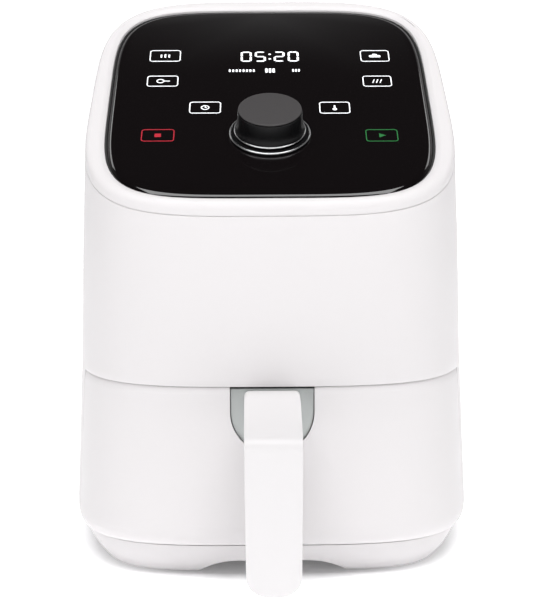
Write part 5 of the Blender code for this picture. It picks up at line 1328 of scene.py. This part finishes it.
# %% Surround
world = bpy.data.worlds.new("studio")
bpy.context.scene.world = world
world.use_nodes = True
sky = world.node_tree
direction = sky.nodes.new("ShaderNodeTexCoord")
parts = sky.nodes.new("ShaderNodeSeparateXYZ")
sky.links.new(direction.outputs["Generated"], parts.inputs["Vector"])


def sky_range(value, start, end, low, high):
    node = sky.nodes.new("ShaderNodeMapRange")
    node.interpolation_type = "SMOOTHSTEP"
    for label, number in (("From Min", start), ("From Max", end), ("To Min", low), ("To Max", high)):
        node.inputs[label].default_value = number
    sky.links.new(value, node.inputs["Value"])
    return node.outputs["Result"]


sideways = sky.nodes.new("ShaderNodeMath")
sideways.operation = "ABSOLUTE"
sky.links.new(parts.outputs["X"], sideways.inputs[0])
ceiling = sky_range(parts.outputs["Z"], 0.45, 0.80, 1.0, 0.02)
flanks = sky_range(sideways.outputs["Value"], 0.25, 1.0, 0.50, 0.18)
rear = sky_range(parts.outputs["Y"], 0.1, 0.9, 1.0, 1.9)
surround = ceiling
for factor in (flanks, rear):
    product = sky.nodes.new("ShaderNodeMath")
    product.operation = "MULTIPLY"
    sky.links.new(surround, product.inputs[0])
    sky.links.new(factor, product.inputs[1])
    surround = product.outputs["Value"]
sky.nodes["Background"].inputs["Color"].default_value = (1.0, 1.0, 1.0, 1.0)
sky.links.new(surround, sky.nodes["Background"].inputs["Strength"])


# %% Lights
def softbox(name, location, target, size, power):
    light = bpy.data.lights.new(name, "AREA")
    light.shape = "RECTANGLE"
    light.size, light.size_y = size
    light.energy = power
    lamp = bpy.data.objects.new(name, light)
    bpy.context.scene.collection.objects.link(lamp)
    lamp.location = location
    lamp.rotation_euler = (Vector(target) - Vector(location)).to_track_quat("-Z", "Y").to_euler()


body_middle = Vector((0.0, middle_y, 0.13))
softbox("overhead", (0.0, -0.42, 1.40), body_middle, (1.3, 0.7), 24.0)
for side in (-1.0, 1.0):
    softbox("edge_light", (0.75 * side, 0.75, 1.30), panel_middle, (0.5, 0.25), 1.3)
softbox("low_front", (0.0, -1.70, 0.25), (0.0, middle_y, 0.02), (1.0, 0.5), 1.9)

# %% [markdown]
# ## Camera
#
# The camera stands about a metre in front of the appliance and a little above it, with a long
# lens, and looks slightly down at the middle of the body. It is swung round and rolled by about
# half a degree or less, as a camera that is set by hand is.

# %% Camera
CAMERA_DISTANCE = 0.9343
pitch, orbit, roll = math.radians(11.05), math.radians(-0.51), math.radians(-0.26)
aim = Vector((0.0, middle_y, 0.1308))
back_off = Vector((math.sin(orbit) * math.cos(pitch), -math.cos(orbit) * math.cos(pitch),
                   math.sin(pitch)))
camera_data = bpy.data.cameras.new("camera")
camera_data.sensor_fit = "AUTO"
camera_data.sensor_width = 36.0
camera_data.lens = 101.24
camera_data.shift_y = -0.0130
camera = bpy.data.objects.new("camera", camera_data)
bpy.context.scene.collection.objects.link(camera)
camera.location = aim + CAMERA_DISTANCE * back_off
look = (-back_off).to_track_quat("-Z", "Y").to_matrix().to_4x4()
camera.rotation_euler = (look @ Matrix.Rotation(roll, 4, "Z")).to_euler()
bpy.context.scene.camera = camera
bpy.context.scene.view_settings.view_transform = "Standard"
bpy.context.scene.view_settings.look = "None"
print("camera at", camera.location)
